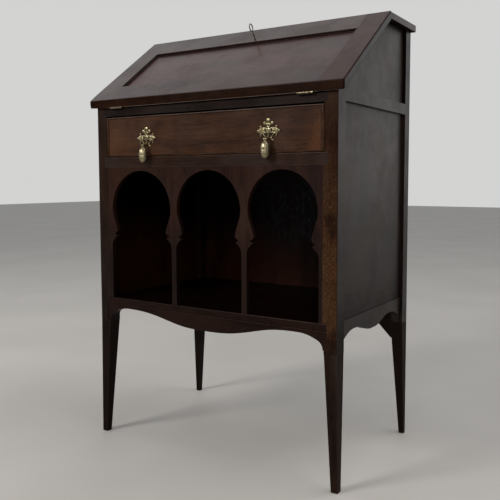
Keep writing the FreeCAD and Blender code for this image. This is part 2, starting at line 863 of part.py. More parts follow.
def fall_moulding():
    h0 = panel_high_h
    h1 = h0 + moulding_h
    ring = box(-panel_half_w, panel_half_w, panel_low_s, panel_high_s, h0, h1)
    low = rectangle(panel_half_w - moulding_w, panel_low_s + moulding_w, panel_high_s - moulding_w, h0)
    high = rectangle(panel_half_w - moulding_lip, panel_low_s + moulding_lip,
                     panel_high_s - moulding_lip, h1)
    return on_slope(ring.cut(Part.makeLoft([low, high], True, True)))


def writing_inset():
    return on_slope(box(-panel_half_w, panel_half_w, panel_low_s, panel_high_s, inset_sink, panel_low_h))


# Hinges: one leaf let into the rail, one into the fall, with interleaved knuckles

def hinge_leaf(centre, first, out_sign):
    x0, x1 = hinge_span(centre, 0)
    step = hinge_len / knuckle_count
    low, high = sorted((0, out_sign * leaf_t))
    shape = box(x0, x1, 0, leaf_w, low, high)
    for i in range(knuckle_count):
        start = x0 + i * step
        if i % 2 == first:
            barrel = rod(knuckle_r, V(start + hole_gap / 2, 0, 0), V(1, 0, 0), step - hole_gap)
            shape = shape.fuse(barrel)
        else:
            room = rod(hinge_clear_r, V(start - hole_gap / 2, 0, 0), V(1, 0, 0), step + hole_gap)
            shape = shape.cut(room)
    return shape.removeSplitter()


def hinge_fixed_leaf(centre):
    x0, x1 = hinge_span(centre, 0)
    shape = hinge_leaf(centre, 0, -1).fuse(rod(hinge_pin_r, V(x0, 0, 0), V(1, 0, 0), x1 - x0))
    shape.translate(V(0, -hinge_out, bed_top))
    return shape


def hinge_moving_leaf(centre):
    x0, x1 = hinge_span(centre, overrun)
    shape = hinge_leaf(centre, 1, 1)
    return on_slope(shape.cut(rod(hinge_pin_r + pin_fit, V(x0, 0, 0), V(1, 0, 0), x1 - x0)))


# Lock, bolt, keeper and key

def bolt_way(s0, s1, side_gap, flat_gap):
    half = bolt_w / 2 + side_gap
    return box(key_x - half, key_x + half, s0, s1, bolt_low_h - flat_gap, bolt_low_h + bolt_t + flat_gap)


def bit_box(side_gap, end_gap, h0, h1):
    half = key_bit_t / 2 + side_gap
    return box(key_x - half, key_x + half, key_s - key_bit_len - end_gap, key_s, h0, h1)


def lock_case():
    x0 = key_x - lock_w / 2
    x1 = key_x + lock_w / 2
    shape = box(x0, x1, lock_low_s, lock_high_s, inset_sink, lock_h)
    shape = shape.cut(box(x0 + lock_wall, x1 - lock_wall, lock_low_s + lock_wall, lock_high_s - lock_wall,
                          inset_sink + lock_wall, lock_h - lock_wall))
    shape = shape.cut(bolt_way(lock_high_s - overrun, lock_high_s + overrun, hole_gap, hole_gap))
    shape = shape.cut(rod(keyhole_r, V(key_x, key_s, lock_hole_h), V(0, 0, 1), overrun))
    return on_slope(shape.cut(bit_box(rest_gap, rest_gap, lock_hole_h, lock_h + overrun)))


def lock_bolt():
    top = lock_high_s - rest_gap
    return on_slope(bolt_way(top - bolt_len, top, 0, 0))


def lock_keeper():
    s0 = fall_len + run_gap
    shape = box(key_x - keeper_w / 2, key_x + keeper_w / 2, s0, s0 + keeper_t,
                bolt_low_h - keeper_border, bolt_low_h + bolt_t + keeper_border)
    return on_slope(shape.cut(bolt_way(s0 - overrun, s0 + keeper_t + overrun, run_gap, rest_gap)))


def key_bow(middle):
    half_h = key_bow_h / 2
    half_w = key_bow_w / 2
    wire = 2 * key_wire_r
    outer = Part.Ellipse(V(0, 0, 0), half_h, half_w).toShape()
    inner = Part.Ellipse(V(0, 0, 0), half_h - wire, half_w - wire).toShape()
    bow = Part.Face(Part.Wire(outer)).extrude(V(0, 0, wire))
    bow = bow.cut(Part.Face(Part.Wire(inner)).extrude(V(0, 0, wire)))
    bow.translate(V(0, 0, -key_wire_r))
    bow.rotate(V(0, 0, 0), V(0, 1, 0), -90)
    bow.rotate(V(0, 0, 0), V(0, 0, 1), 90)
    bow.translate(V(key_x, key_s, middle))
    return bow


def door_key():
    low = inset_sink + lock_wall + rest_gap
    bow_low = fall_t + key_standing
    shank = rod(key_shank_r, V(key_x, key_s, low), V(0, 0, 1), bow_low - low + key_wire_r / 2)
    collar_low = V(key_x, key_s, bow_low - 2 * key_wire_r)
    collar = rod(key_shank_r + key_wire_r / 2, collar_low, V(0, 0, 1), key_wire_r)
    bit = bit_box(0, 0, low + rest_gap, low + rest_gap + key_bit_h)
    return on_slope(shank.fuse([collar, bit, key_bow(bow_low + key_bow_h / 2)]).removeSplitter())


# Elbow stays: the arm on the case and the arm on the fall make a parallelogram with the hinge line

def stay_arm(x0, start, end):
    length = math.hypot(end[0] - start[0], end[1] - start[1])
    angle = math.degrees(math.atan2(end[1] - start[1], end[0] - start[0]))
    bar = box(x0, x0 + stay_t, 0, length, -stay_w / 2, stay_w / 2)
    bar = bar.fuse([rod(stay_w / 2, V(x0, 0, 0), V(1, 0, 0), stay_t),
                    rod(stay_w / 2, V(x0, length, 0), V(1, 0, 0), stay_t)])
    hole = rod(stay_pin_r + pin_fit, V(x0 - overrun, 0, 0), V(1, 0, 0), stay_t + 2 * overrun)
    bar = bar.cut(hole).removeSplitter()
    bar.rotate(V(0, 0, 0), V(1, 0, 0), angle)
    bar.translate(V(0, start[0], start[1]))
    return bar


def stay_points():
    case_pivot = (stay_case_y, bed_top + stay_case_up)
    fall_pivot = (slope_y(stay_fall_s, -stay_fall_drop), slope_z(stay_fall_s, -stay_fall_drop))
    elbow = (case_pivot[0] + fall_pivot[0] + hinge_out, case_pivot[1] + fall_pivot[1] - bed_top)
    return case_pivot, fall_pivot, elbow


def mirrored(shape):
    return shape.mirror(V(0, 0, 0), V(1, 0, 0))


def stay_case_arm(side):
    case_pivot, fall_pivot, elbow = stay_points()
    x0 = stay_case_x - stay_t
    arm = stay_arm(x0, case_pivot, elbow)
    boss_x = x0 - stay_plane_gap + rest_gap
    boss = rod(stay_head_r, V(boss_x, elbow[0], elbow[1]), V(1, 0, 0), stay_plane_gap)
    arm = arm.fuse(boss).removeSplitter()
    return arm if side > 0 else mirrored(arm)


def stay_fall_arm(side):
    case_pivot, fall_pivot, elbow = stay_points()
    x0 = stay_fall_x - stay_t
    arm = stay_arm(x0, fall_pivot, elbow)
    head = rod(stay_head_r, V(x0 - stay_head_t, elbow[0], elbow[1]), V(1, 0, 0), stay_head_t + stay_t / 2)
    arm = arm.fuse(head).removeSplitter()
    return arm if side > 0 else mirrored(arm)


def stay_case_brackets():
    (y, z), fall_pivot, elbow = stay_points()
    half = stay_plate_w / 2
    plate = box(stay_case_x + rest_gap, front_inner_x, y - stay_plate_w, y + stay_plate_w,
                z - stay_case_up + hole_gap, z + half)
    head_x = stay_case_x - stay_t - rest_gap - stay_head_t
    pin = rod(stay_pin_r, V(head_x, y, z), V(1, 0, 0), front_inner_x - head_x)
    head = rod(stay_head_r, V(head_x, y, z), V(1, 0, 0), stay_head_t)
    shape = plate.fuse([pin, head]).removeSplitter()
    return Part.makeCompound([shape, mirrored(shape)])


def stay_fall_brackets():
    half = stay_foot_w / 2
    ear_x = stay_fall_x + rest_gap
    foot = box(ear_x, front_inner_x - run_gap, stay_fall_s - half, stay_fall_s + half, -stay_foot_t, 0)
    ear = box(ear_x, ear_x + stay_plate_t, stay_fall_s - stay_w / 2, stay_fall_s + stay_w / 2,
              -stay_fall_drop, 0)
    round_end = rod(stay_w / 2, V(ear_x, stay_fall_s, -stay_fall_drop), V(1, 0, 0), stay_plate_t)
    head_x = stay_fall_x - stay_t - rest_gap - stay_head_t
    pin = rod(stay_pin_r, V(head_x, stay_fall_s, -stay_fall_drop), V(1, 0, 0), ear_x - head_x)
    head = rod(stay_head_r, V(head_x, stay_fall_s, -stay_fall_drop), V(1, 0, 0), stay_head_t)
    shape = on_slope(foot.fuse([ear, round_end, pin, head]).removeSplitter())
    return Part.makeCompound([shape, mirrored(shape)])


# Write every piece

for name, side in left_right:
    save("front_leg_" + name, front_leg(side))
    save("rear_leg_" + name, rear_leg(side))
    save("side_apron_" + name, side_apron(side))
    save("side_mid_rail_" + name, side_mid_rail(side))
    save("side_lower_panel_" + name, side_lower_panel(side))
    save("side_upper_panel_" + name, side_upper_panel(side))
    save("side_lining_" + name, side_lining(side))
    save("drawer_runner_" + name, drawer_runner(side))
    save("drawer_side_" + name, drawer_side(side))
    save("handle_plate_" + name, handle_plate(side))
    save("handle_drop_" + name, handle_drop(side))
    save("fall_stile_" + name, fall_stile(side))
    save("hinge_fixed_leaf_" + name, hinge_fixed_leaf(side * hinge_x))
    save("hinge_moving_leaf_" + name, hinge_moving_leaf(side * hinge_x))
save("handle_bolts", both_sides(handle_bolt))
save("stay_case_arms", both_sides(stay_case_arm))
save("stay_fall_arms", both_sides(stay_fall_arm))
save("pigeon_dividers", Part.makeCompound([pigeon_divider(centre) for centre in divider_places()]))
save("pigeon_shelves", Part.makeCompound([pigeon_shelf(i) for i in range(divider_count + 1)]))
save("top_board", top_board())
save("top_front_rail", top_front_rail())
save("writing_bed", writing_bed())
save("drawer_rail", drawer_rail())
save("arch_fret", arch_fret())
save("shelf_board", shelf_board())
save("front_apron", front_apron())
save("rear_apron", rear_apron())
save("back_panel", back_panel())
save("dust_board", dust_board())
save("drawer_bead", drawer_bead())
save("drawer_front", drawer_front())
save("drawer_back", drawer_back())
save("drawer_bottom", drawer_bottom())
save("drawer_stops", drawer_stops())
save("fall_bottom_rail", fall_bottom_rail())
save("fall_top_rail", fall_top_rail())
save("fall_panel", fall_panel())
save("fall_moulding", fall_moulding())
save("writing_inset", writing_inset())
save("lock_case", lock_case())
save("lock_bolt", lock_bolt())
save("lock_keeper", lock_keeper())
save("door_key", door_key())
save("stay_case_brackets", stay_case_brackets())
save("stay_fall_brackets", stay_fall_brackets())

case_pivot, fall_pivot, elbow = stay_points()
print("shift", -origin_y, "bed_top", bed_top, "fall_len", fall_len, "open", fall_open_deg)
print("stay case pivot", case_pivot[0] - origin_y, case_pivot[1])
print("stay fall pivot", fall_pivot[0] - origin_y, fall_pivot[1])
print("drop axis", -drop_axis_y - origin_y, drop_axis_z)
print("key foot", slope_y(key_s, 0) - origin_y, slope_z(key_s, 0))
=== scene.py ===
import bpy
import bmesh
import json
import math
from mathutils import Matrix, Vector


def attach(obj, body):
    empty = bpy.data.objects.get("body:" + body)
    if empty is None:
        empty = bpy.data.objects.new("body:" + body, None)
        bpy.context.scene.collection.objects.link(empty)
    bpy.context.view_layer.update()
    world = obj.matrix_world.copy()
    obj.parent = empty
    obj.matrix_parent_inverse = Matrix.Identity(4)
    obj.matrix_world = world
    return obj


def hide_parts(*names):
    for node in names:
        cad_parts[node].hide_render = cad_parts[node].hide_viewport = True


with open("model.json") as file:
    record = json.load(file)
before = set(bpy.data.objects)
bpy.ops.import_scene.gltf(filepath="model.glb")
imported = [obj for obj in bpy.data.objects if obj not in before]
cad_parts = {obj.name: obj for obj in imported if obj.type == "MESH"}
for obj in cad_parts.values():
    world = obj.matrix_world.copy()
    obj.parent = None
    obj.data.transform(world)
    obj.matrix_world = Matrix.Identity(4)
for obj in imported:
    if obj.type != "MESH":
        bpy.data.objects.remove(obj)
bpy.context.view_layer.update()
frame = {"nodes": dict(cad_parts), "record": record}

# Places shared with the model, in metres
SLOPE = math.radians(37.06)
POST_Y = -0.17885
PIN_Y = POST_Y - 0.0054
BED_Z = 0.7714
DARK_RAIL_Z = BED_Z - 0.0184
FRET_TOP_Z = 0.636
SHELF_LOW_Z = 0.315
LEG_Z = 0.272
LET_IN_X = 0.2925

FALL_HALF_W = 0.3275
FALL_LEN = 0.291764
FALL_T = 0.016
STILE_W = 0.0535
LOW_RAIL_W = 0.0698
HIGH_RAIL_W = 0.065
PANEL_H = 0.010
HINGE_X = 0.246
KEY_X = 0.014
KEY_S = FALL_LEN - 0.052

DRAWER_FACE_Y = POST_Y + 0.0006
DRAWER_HALF_W = 0.284
DRAWER_Z = (0.660, 0.7495)
HANDLE_X = 0.1605
HANDLE_Z = {-1: 0.7000, 1: 0.7035}
DROP_Y = POST_Y - 0.012
DROP_BELOW = 0.0166

# Cosine past which a face counts as looking along an axis
SQUARE_ON = 0.93


def on_slope(x, s, h):
    """A point of the closed fall: s up the slope from its hinge pins, h out from its back."""
    return Vector((x, PIN_Y + s * math.cos(SLOPE) - h * math.sin(SLOPE),
                   BED_Z + s * math.sin(SLOPE) + h * math.cos(SLOPE)))


def make_camera():
    """The camera stands where the photograph was taken from."""
    data = bpy.data.cameras.new("camera")
    cam = bpy.data.objects.new("camera", data)
    bpy.context.scene.collection.objects.link(cam)
    yaw, pitch, roll = 0.5527, -0.0791, -0.0004
    forward = Vector((-math.sin(yaw) * math.cos(pitch), math.cos(yaw) * math.cos(pitch), math.sin(pitch)))
    cam.rotation_mode = "QUATERNION"
    turn = forward.to_track_quat("-Z", "Y")
    cam.rotation_quaternion = turn @ Matrix.Rotation(roll, 3, "Z").to_quaternion()
    cam.location = (0.8597, -1.2914, 0.6052)
    data.sensor_width = 36.0
    data.lens = 47.46
    data.shift_x = -0.0483
    data.shift_y = -0.0341
    data.clip_start, data.clip_end = 0.02, 60
    bpy.context.scene.camera = cam


# Shader helpers

class Nodes:
    """A small builder for one node tree, which starts empty."""

    def __init__(self, tree):
        self.nt = tree
        tree.nodes.clear()

    def node(self, kind, **values):
        n = self.nt.nodes.new(kind)
        for k, v in values.items():
            setattr(n, k, v)
        return n

    def link(self, a, b):
        self.nt.links.new(a, b)

    def noise(self, vec, scale, detail=3.0, rough=0.55, distortion=0.0):
        n = self.node("ShaderNodeTexNoise")
        n.inputs["Scale"].default_value = scale
        n.inputs["Detail"].default_value = detail
        n.inputs["Roughness"].default_value = rough
        n.inputs["Distortion"].default_value = distortion
        self.link(vec, n.inputs["Vector"])
        return n.outputs[0]

    def ramp(self, value, low, high, a=0.0, b=1.0):
        m = self.node("ShaderNodeMapRange", interpolation_type="SMOOTHSTEP")
        m.inputs["From Min"].default_value = low
        m.inputs["From Max"].default_value = high
        m.inputs["To Min"].default_value = a
        m.inputs["To Max"].default_value = b
        self.link(value, m.inputs["Value"])
        return m.outputs[0]

    def math(self, op, a, b):
        m = self.node("ShaderNodeMath", operation=op)
        for i, v in enumerate((a, b)):
            if isinstance(v, (int, float)):
                m.inputs[i].default_value = v
            else:
                self.link(v, m.inputs[i])
        return m.outputs[0]

    def times(self, a, b):
        return self.math("MULTIPLY", a, b)

    def mix(self, factor, a, b, mode="MIX"):
        m = self.node("ShaderNodeMix", data_type="RGBA", blend_type=mode)
        m.clamp_factor = True
        if isinstance(factor, (int, float)):
            m.inputs[0].default_value = factor
        else:
            self.link(factor, m.inputs[0])
        for i, v in ((6, a), (7, b)):
            if isinstance(v, tuple):
                m.inputs[i].default_value = (*v, 1)
            else:
                self.link(v, m.inputs[i])
        return m.outputs[2]


class Shade(Nodes):
    """The nodes of one material."""

    def __init__(self, name):
        self.mat = bpy.data.materials.new(name)
        self.mat.use_nodes = True
        super().__init__(self.mat.node_tree)
        self.bsdf = self.node("ShaderNodeBsdfPrincipled")
        self.link(self.bsdf.outputs[0], self.node("ShaderNodeOutputMaterial").inputs[0])

    def coords(self, rotate=0.0, scale=(1, 1, 1), offset=(0, 0, 0)):
        tc = self.node("ShaderNodeTexCoord")
        turn = self.node("ShaderNodeMapping")
        turn.inputs["Rotation"].default_value = (-rotate, 0, 0)
        self.link(tc.outputs["Object"], turn.inputs["Vector"])
        size = self.node("ShaderNodeMapping")
        size.inputs["Scale"].default_value = scale
        size.inputs["Location"].default_value = offset
        self.link(turn.outputs[0], size.inputs["Vector"])
        return size.outputs[0]

    def places(self):
        """The object's x, y and z, each as a value."""
        parts = self.node("ShaderNodeSeparateXYZ")
        self.link(self.coords(), parts.inputs[0])
        return parts.outputs

    def bump(self, height, strength, distance, normal=None):
        b = self.node("ShaderNodeBump")
        b.inputs["Strength"].default_value = strength
        b.inputs["Distance"].default_value = distance
        self.link(height, b.inputs["Height"])
        if normal is not None:
            self.link(normal, b.inputs["Normal"])
        return b.outputs[0]

    def finish(self, color, rough, normal, metallic=0.0, coat=0.0, coat_rough=0.1, spec=0.5):
        self.link(color, self.bsdf.inputs["Base Color"])
        if isinstance(rough, float):
            self.bsdf.inputs["Roughness"].default_value = rough
        else:
            self.link(rough, self.bsdf.inputs["Roughness"])
        if normal is not None:
            self.link(normal, self.bsdf.inputs["Normal"])
            if coat:
                self.link(normal, self.bsdf.inputs["Coat Normal"])
        self.bsdf.inputs["Metallic"].default_value = metallic
        self.bsdf.inputs["Coat Weight"].default_value = coat
        self.bsdf.inputs["Coat Roughness"].default_value = coat_rough
        self.bsdf.inputs["IOR"].default_value = 1.5
        self.bsdf.inputs["Specular IOR Level"].default_value = spec
        return self.mat


AXIS_SCALE = {"x": (0.055, 1, 1), "y": (1, 0.055, 1), "z": (1, 1, 0.055)}


def faded(s, color, fade):
    """Darker below or above a band of heights: painted shade where less light, and less polish, reaches the
    wood.
    """
    low, high, at_low, at_high = fade
    return s.mix(1.0, color, s.ramp(s.places()[2], low, high, at_low, at_high), "MULTIPLY")


def along_grain(s, plain, axis, slope, offset):
    """Coordinates stretched along the grain and swayed a little, so that no streak runs dead straight."""
    grain = s.coords(slope, AXIS_SCALE[axis], offset)
    sway = s.noise(plain, 4.5, 2.0, 0.5)
    joined = s.node("ShaderNodeCombineXYZ")
    for i in range(3):
        s.link(sway, joined.inputs[i])
    lift = s.node("ShaderNodeVectorMath", operation="SCALE")
    s.link(joined.outputs[0], lift.inputs[0])
    lift.inputs["Scale"].default_value = 0.05
    moved = s.node("ShaderNodeVectorMath", operation="ADD")
    s.link(grain, moved.inputs[0])
    s.link(lift.outputs[0], moved.inputs[1])
    return moved.outputs[0]


def post_ends(s, color, tone, ends):
    """Both margins of the fret in the colours of the posts; gives the mask of the right one too."""
    (left_deep, left_mid), (right_deep, right_mid) = ends
    x = s.places()[0]
    at_left = s.ramp(x, -0.2825, -0.2818, 1.0, 0.0)
    at_right = s.ramp(x, 0.2814, 0.2824)
    color = s.mix(at_left, color, s.mix(tone, left_deep, left_mid))
    color = s.mix(at_right, color, s.mix(tone, right_deep, right_mid))
    line = s.times(s.ramp(x, -0.2836, -0.2827), s.ramp(x, -0.2820, -0.2811, 1.0, 0.0))
    return s.mix(s.times(line, 0.8), color, (0.004, 0.0016, 0.0008)), at_right


def golden_flecks(s, color, plain, slope, offset, share, fleck_color, mask):
    """Flecks of bare golden wood in patches, with fewer of them higher up."""
    fine = s.noise(s.coords(slope, (1, 1, 0.45), offset), 430.0, 4.0, 0.75)
    flecks = s.ramp(fine, 0.42, 0.62, 0.12, 1.0)
    where = s.times(s.ramp(s.noise(plain, 13.0, 4.0, 0.65), 0.34, 0.62),
                    s.ramp(s.places()[2], 0.50, 0.64, 1.0, 0.4))
    if mask is not None:
        where = s.times(where, mask)
    return s.mix(s.times(s.times(flecks, where), share), color, fleck_color)


def curly_figure(s, color, curl):
    """Dark curls between the given widths and heights."""
    (x0, x1), (z0, z1) = curl
    waves = s.ramp(s.noise(s.coords(0, (1.0, 1.0, 0.55)), 55.0, 1.5, 0.5, 2.2), 0.47, 0.60)
    x, _, z = s.places()
    where = s.times(s.ramp(x, x0, x1), s.times(s.ramp(z, z0, z0 + 0.05), s.ramp(z, z1 - 0.04, z1, 1.0, 0.0)))
    return s.mix(s.times(waves, where), color, (0.016, 0.0135, 0.0175))


def wood(name, deep, mid, warm, axis, offset, gloss, coat_rough, spec, slope=0.0, rough=0.36, figure=0.45,
         blotch=0.5, pore=0.5, worn=0.0, patch=0.0, worn_color=None, fade=None, curl=None, ends=None):
    """Polished mahogany: bands of figure, fine streaks and pores along the grain, blotches and wear, with
    painted shade by height where given.
    """
    s = Shade(name)
    plain = s.coords(slope, (1, 1, 1), offset)
    vec = along_grain(s, plain, axis, slope, offset)
    bands = s.noise(vec, 26.0, 3.0, 0.62, 0.6)
    streaks = s.noise(vec, 210.0, 5.0, 0.68)
    pores = s.ramp(s.noise(vec, 980.0, 2.0, 0.5), 0.56, 0.68)
    clouds = s.noise(plain, 6.0, 4.0, 0.6, 0.4)
    tone = s.math("ADD", s.times(s.ramp(bands, 0.36, 0.66), figure),
                  s.times(s.ramp(streaks, 0.33, 0.7), 1 - figure))
    color = s.mix(tone, deep, mid)
    color = s.mix(s.times(s.ramp(clouds, 0.42, 0.72), blotch), color, warm)
    at_right = None
    if ends:
        color, at_right = post_ends(s, faded(s, color, fade), tone, ends)
    color = s.mix(s.times(pores, pore), color, tuple(c * 0.35 for c in deep))
    if patch:
        color = golden_flecks(s, color, plain, slope, offset, patch, worn_color, at_right)
    if worn:
        rubbed = s.ramp(s.noise(plain, 34.0, 4.0, 0.7), 0.42, 0.66, 0.15, 1.0)
        color = s.mix(s.times(rubbed, worn), color, worn_color)
    # Painted shade by height, for wood without the fret's margins
    if fade and not ends:
        color = faded(s, color, fade)
    if curl:
        color = curly_figure(s, color, curl)
    smudge = s.ramp(s.noise(plain, 11.0, 5.0, 0.65), 0.35, 0.7, -0.06, 0.1)
    normal = s.bump(s.noise(plain, 16.0, 1.0, 0.4), 0.22, 0.0012)
    normal = s.bump(streaks, 0.16, 0.00025, normal)
    normal = s.bump(pores, 0.3, -0.00012, normal)
    return s.finish(color, s.math("ADD", smudge, rough), normal, coat=gloss, coat_rough=coat_rough, spec=spec)


def brass(name, bright, dull, dirt, rough=0.3, tarnish=0.5):
    """Old brass or steel: clouds of tarnish with spots of dirt in them."""
    s = Shade(name)
    fine = 260.0
    vec = s.coords()
    clouds = s.ramp(s.noise(vec, fine * 0.45, 5.0, 0.65), 0.38, 0.66)
    spots = s.ramp(s.noise(vec, fine * 2.2, 4.0, 0.7), 0.5, 0.66)
    color = s.mix(s.times(clouds, tarnish), bright, dull)
    color = s.mix(s.times(spots, 0.55 * tarnish), color, dirt)
    roughness = s.math("ADD", s.times(clouds, 0.14), rough)
    normal = s.bump(s.noise(vec, fine * 3.4, 3.0, 0.6), 0.12, 0.0002)
    normal = s.bump(s.noise(vec, fine * 0.5, 2.0, 0.5), 0.12, 0.0005, normal)
    return s.finish(color, roughness, normal, metallic=1.0)


def leather(name):
    s = Shade(name)
    vec = s.coords(SLOPE)
    cells = s.node("ShaderNodeTexVoronoi", feature="DISTANCE_TO_EDGE")
    cells.inputs["Scale"].default_value = 620.0
    s.link(vec, cells.inputs["Vector"])
    creases = s.ramp(cells.outputs[0], 0.0, 0.12)
    rubbed = s.ramp(s.noise(vec, 9.0, 5.0, 0.65), 0.4, 0.7)
    color = s.mix(rubbed, (0.06, 0.012, 0.01), (0.12, 0.032, 0.022))
    color = s.mix(s.times(s.math("SUBTRACT", 1.0, creases), 0.5), color, (0.025, 0.006, 0.005))
    normal = s.bump(creases, 0.35, 0.0002)
    normal = s.bump(s.noise(vec, 60.0, 3.0, 0.6), 0.2, 0.0006, normal)
    return s.finish(color, s.ramp(rubbed, 0, 1, 0.5, 0.36), normal)


def bare_wood(name, low, high, axis="y", offset=(0, 0, 0)):
    s = Shade(name)
    plain = s.coords(0, (1, 1, 1), offset)
    grain = s.coords(0, AXIS_SCALE[axis], offset)
    rings = s.noise(grain, 60.0, 4.0, 0.6, 0.8)
    fibres = s.noise(grain, 600.0, 4.0, 0.65)
    stain = s.noise(plain, 7.0, 4.0, 0.65)
    color = s.mix(s.ramp(rings, 0.35, 0.66), low, high)
    color = s.mix(s.times(s.ramp(fibres, 0.45, 0.7), 0.35), color, tuple(c * 0.55 for c in low))
    color = s.mix(s.times(s.ramp(stain, 0.5, 0.75), 0.5), color, tuple(c * 0.45 for c in low))
    normal = s.bump(fibres, 0.3, 0.0003)
    return s.finish(color, 0.62, normal, spec=0.35)


M = {}

# The polish of the sides gets duller towards the floor: the share of full shine from each height up
SIDE_LEVELS = (0.0, 0.315, 0.335, 0.35, 0.365, 0.38, 0.395, 0.415, 0.44, 0.47, 0.51)
SIDE_SHINE = (0.17, 0.24, 0.32, 0.41, 0.50, 0.59, 0.68, 0.77, 0.86, 0.94, 1.02)
SIDE_TOP = "side_%d" % (len(SIDE_SHINE) - 1)


def mahogany(key, deep, mid, warm, axis, **look):
    M[key] = wood("mahogany_" + key, deep, mid, warm, axis, **look)


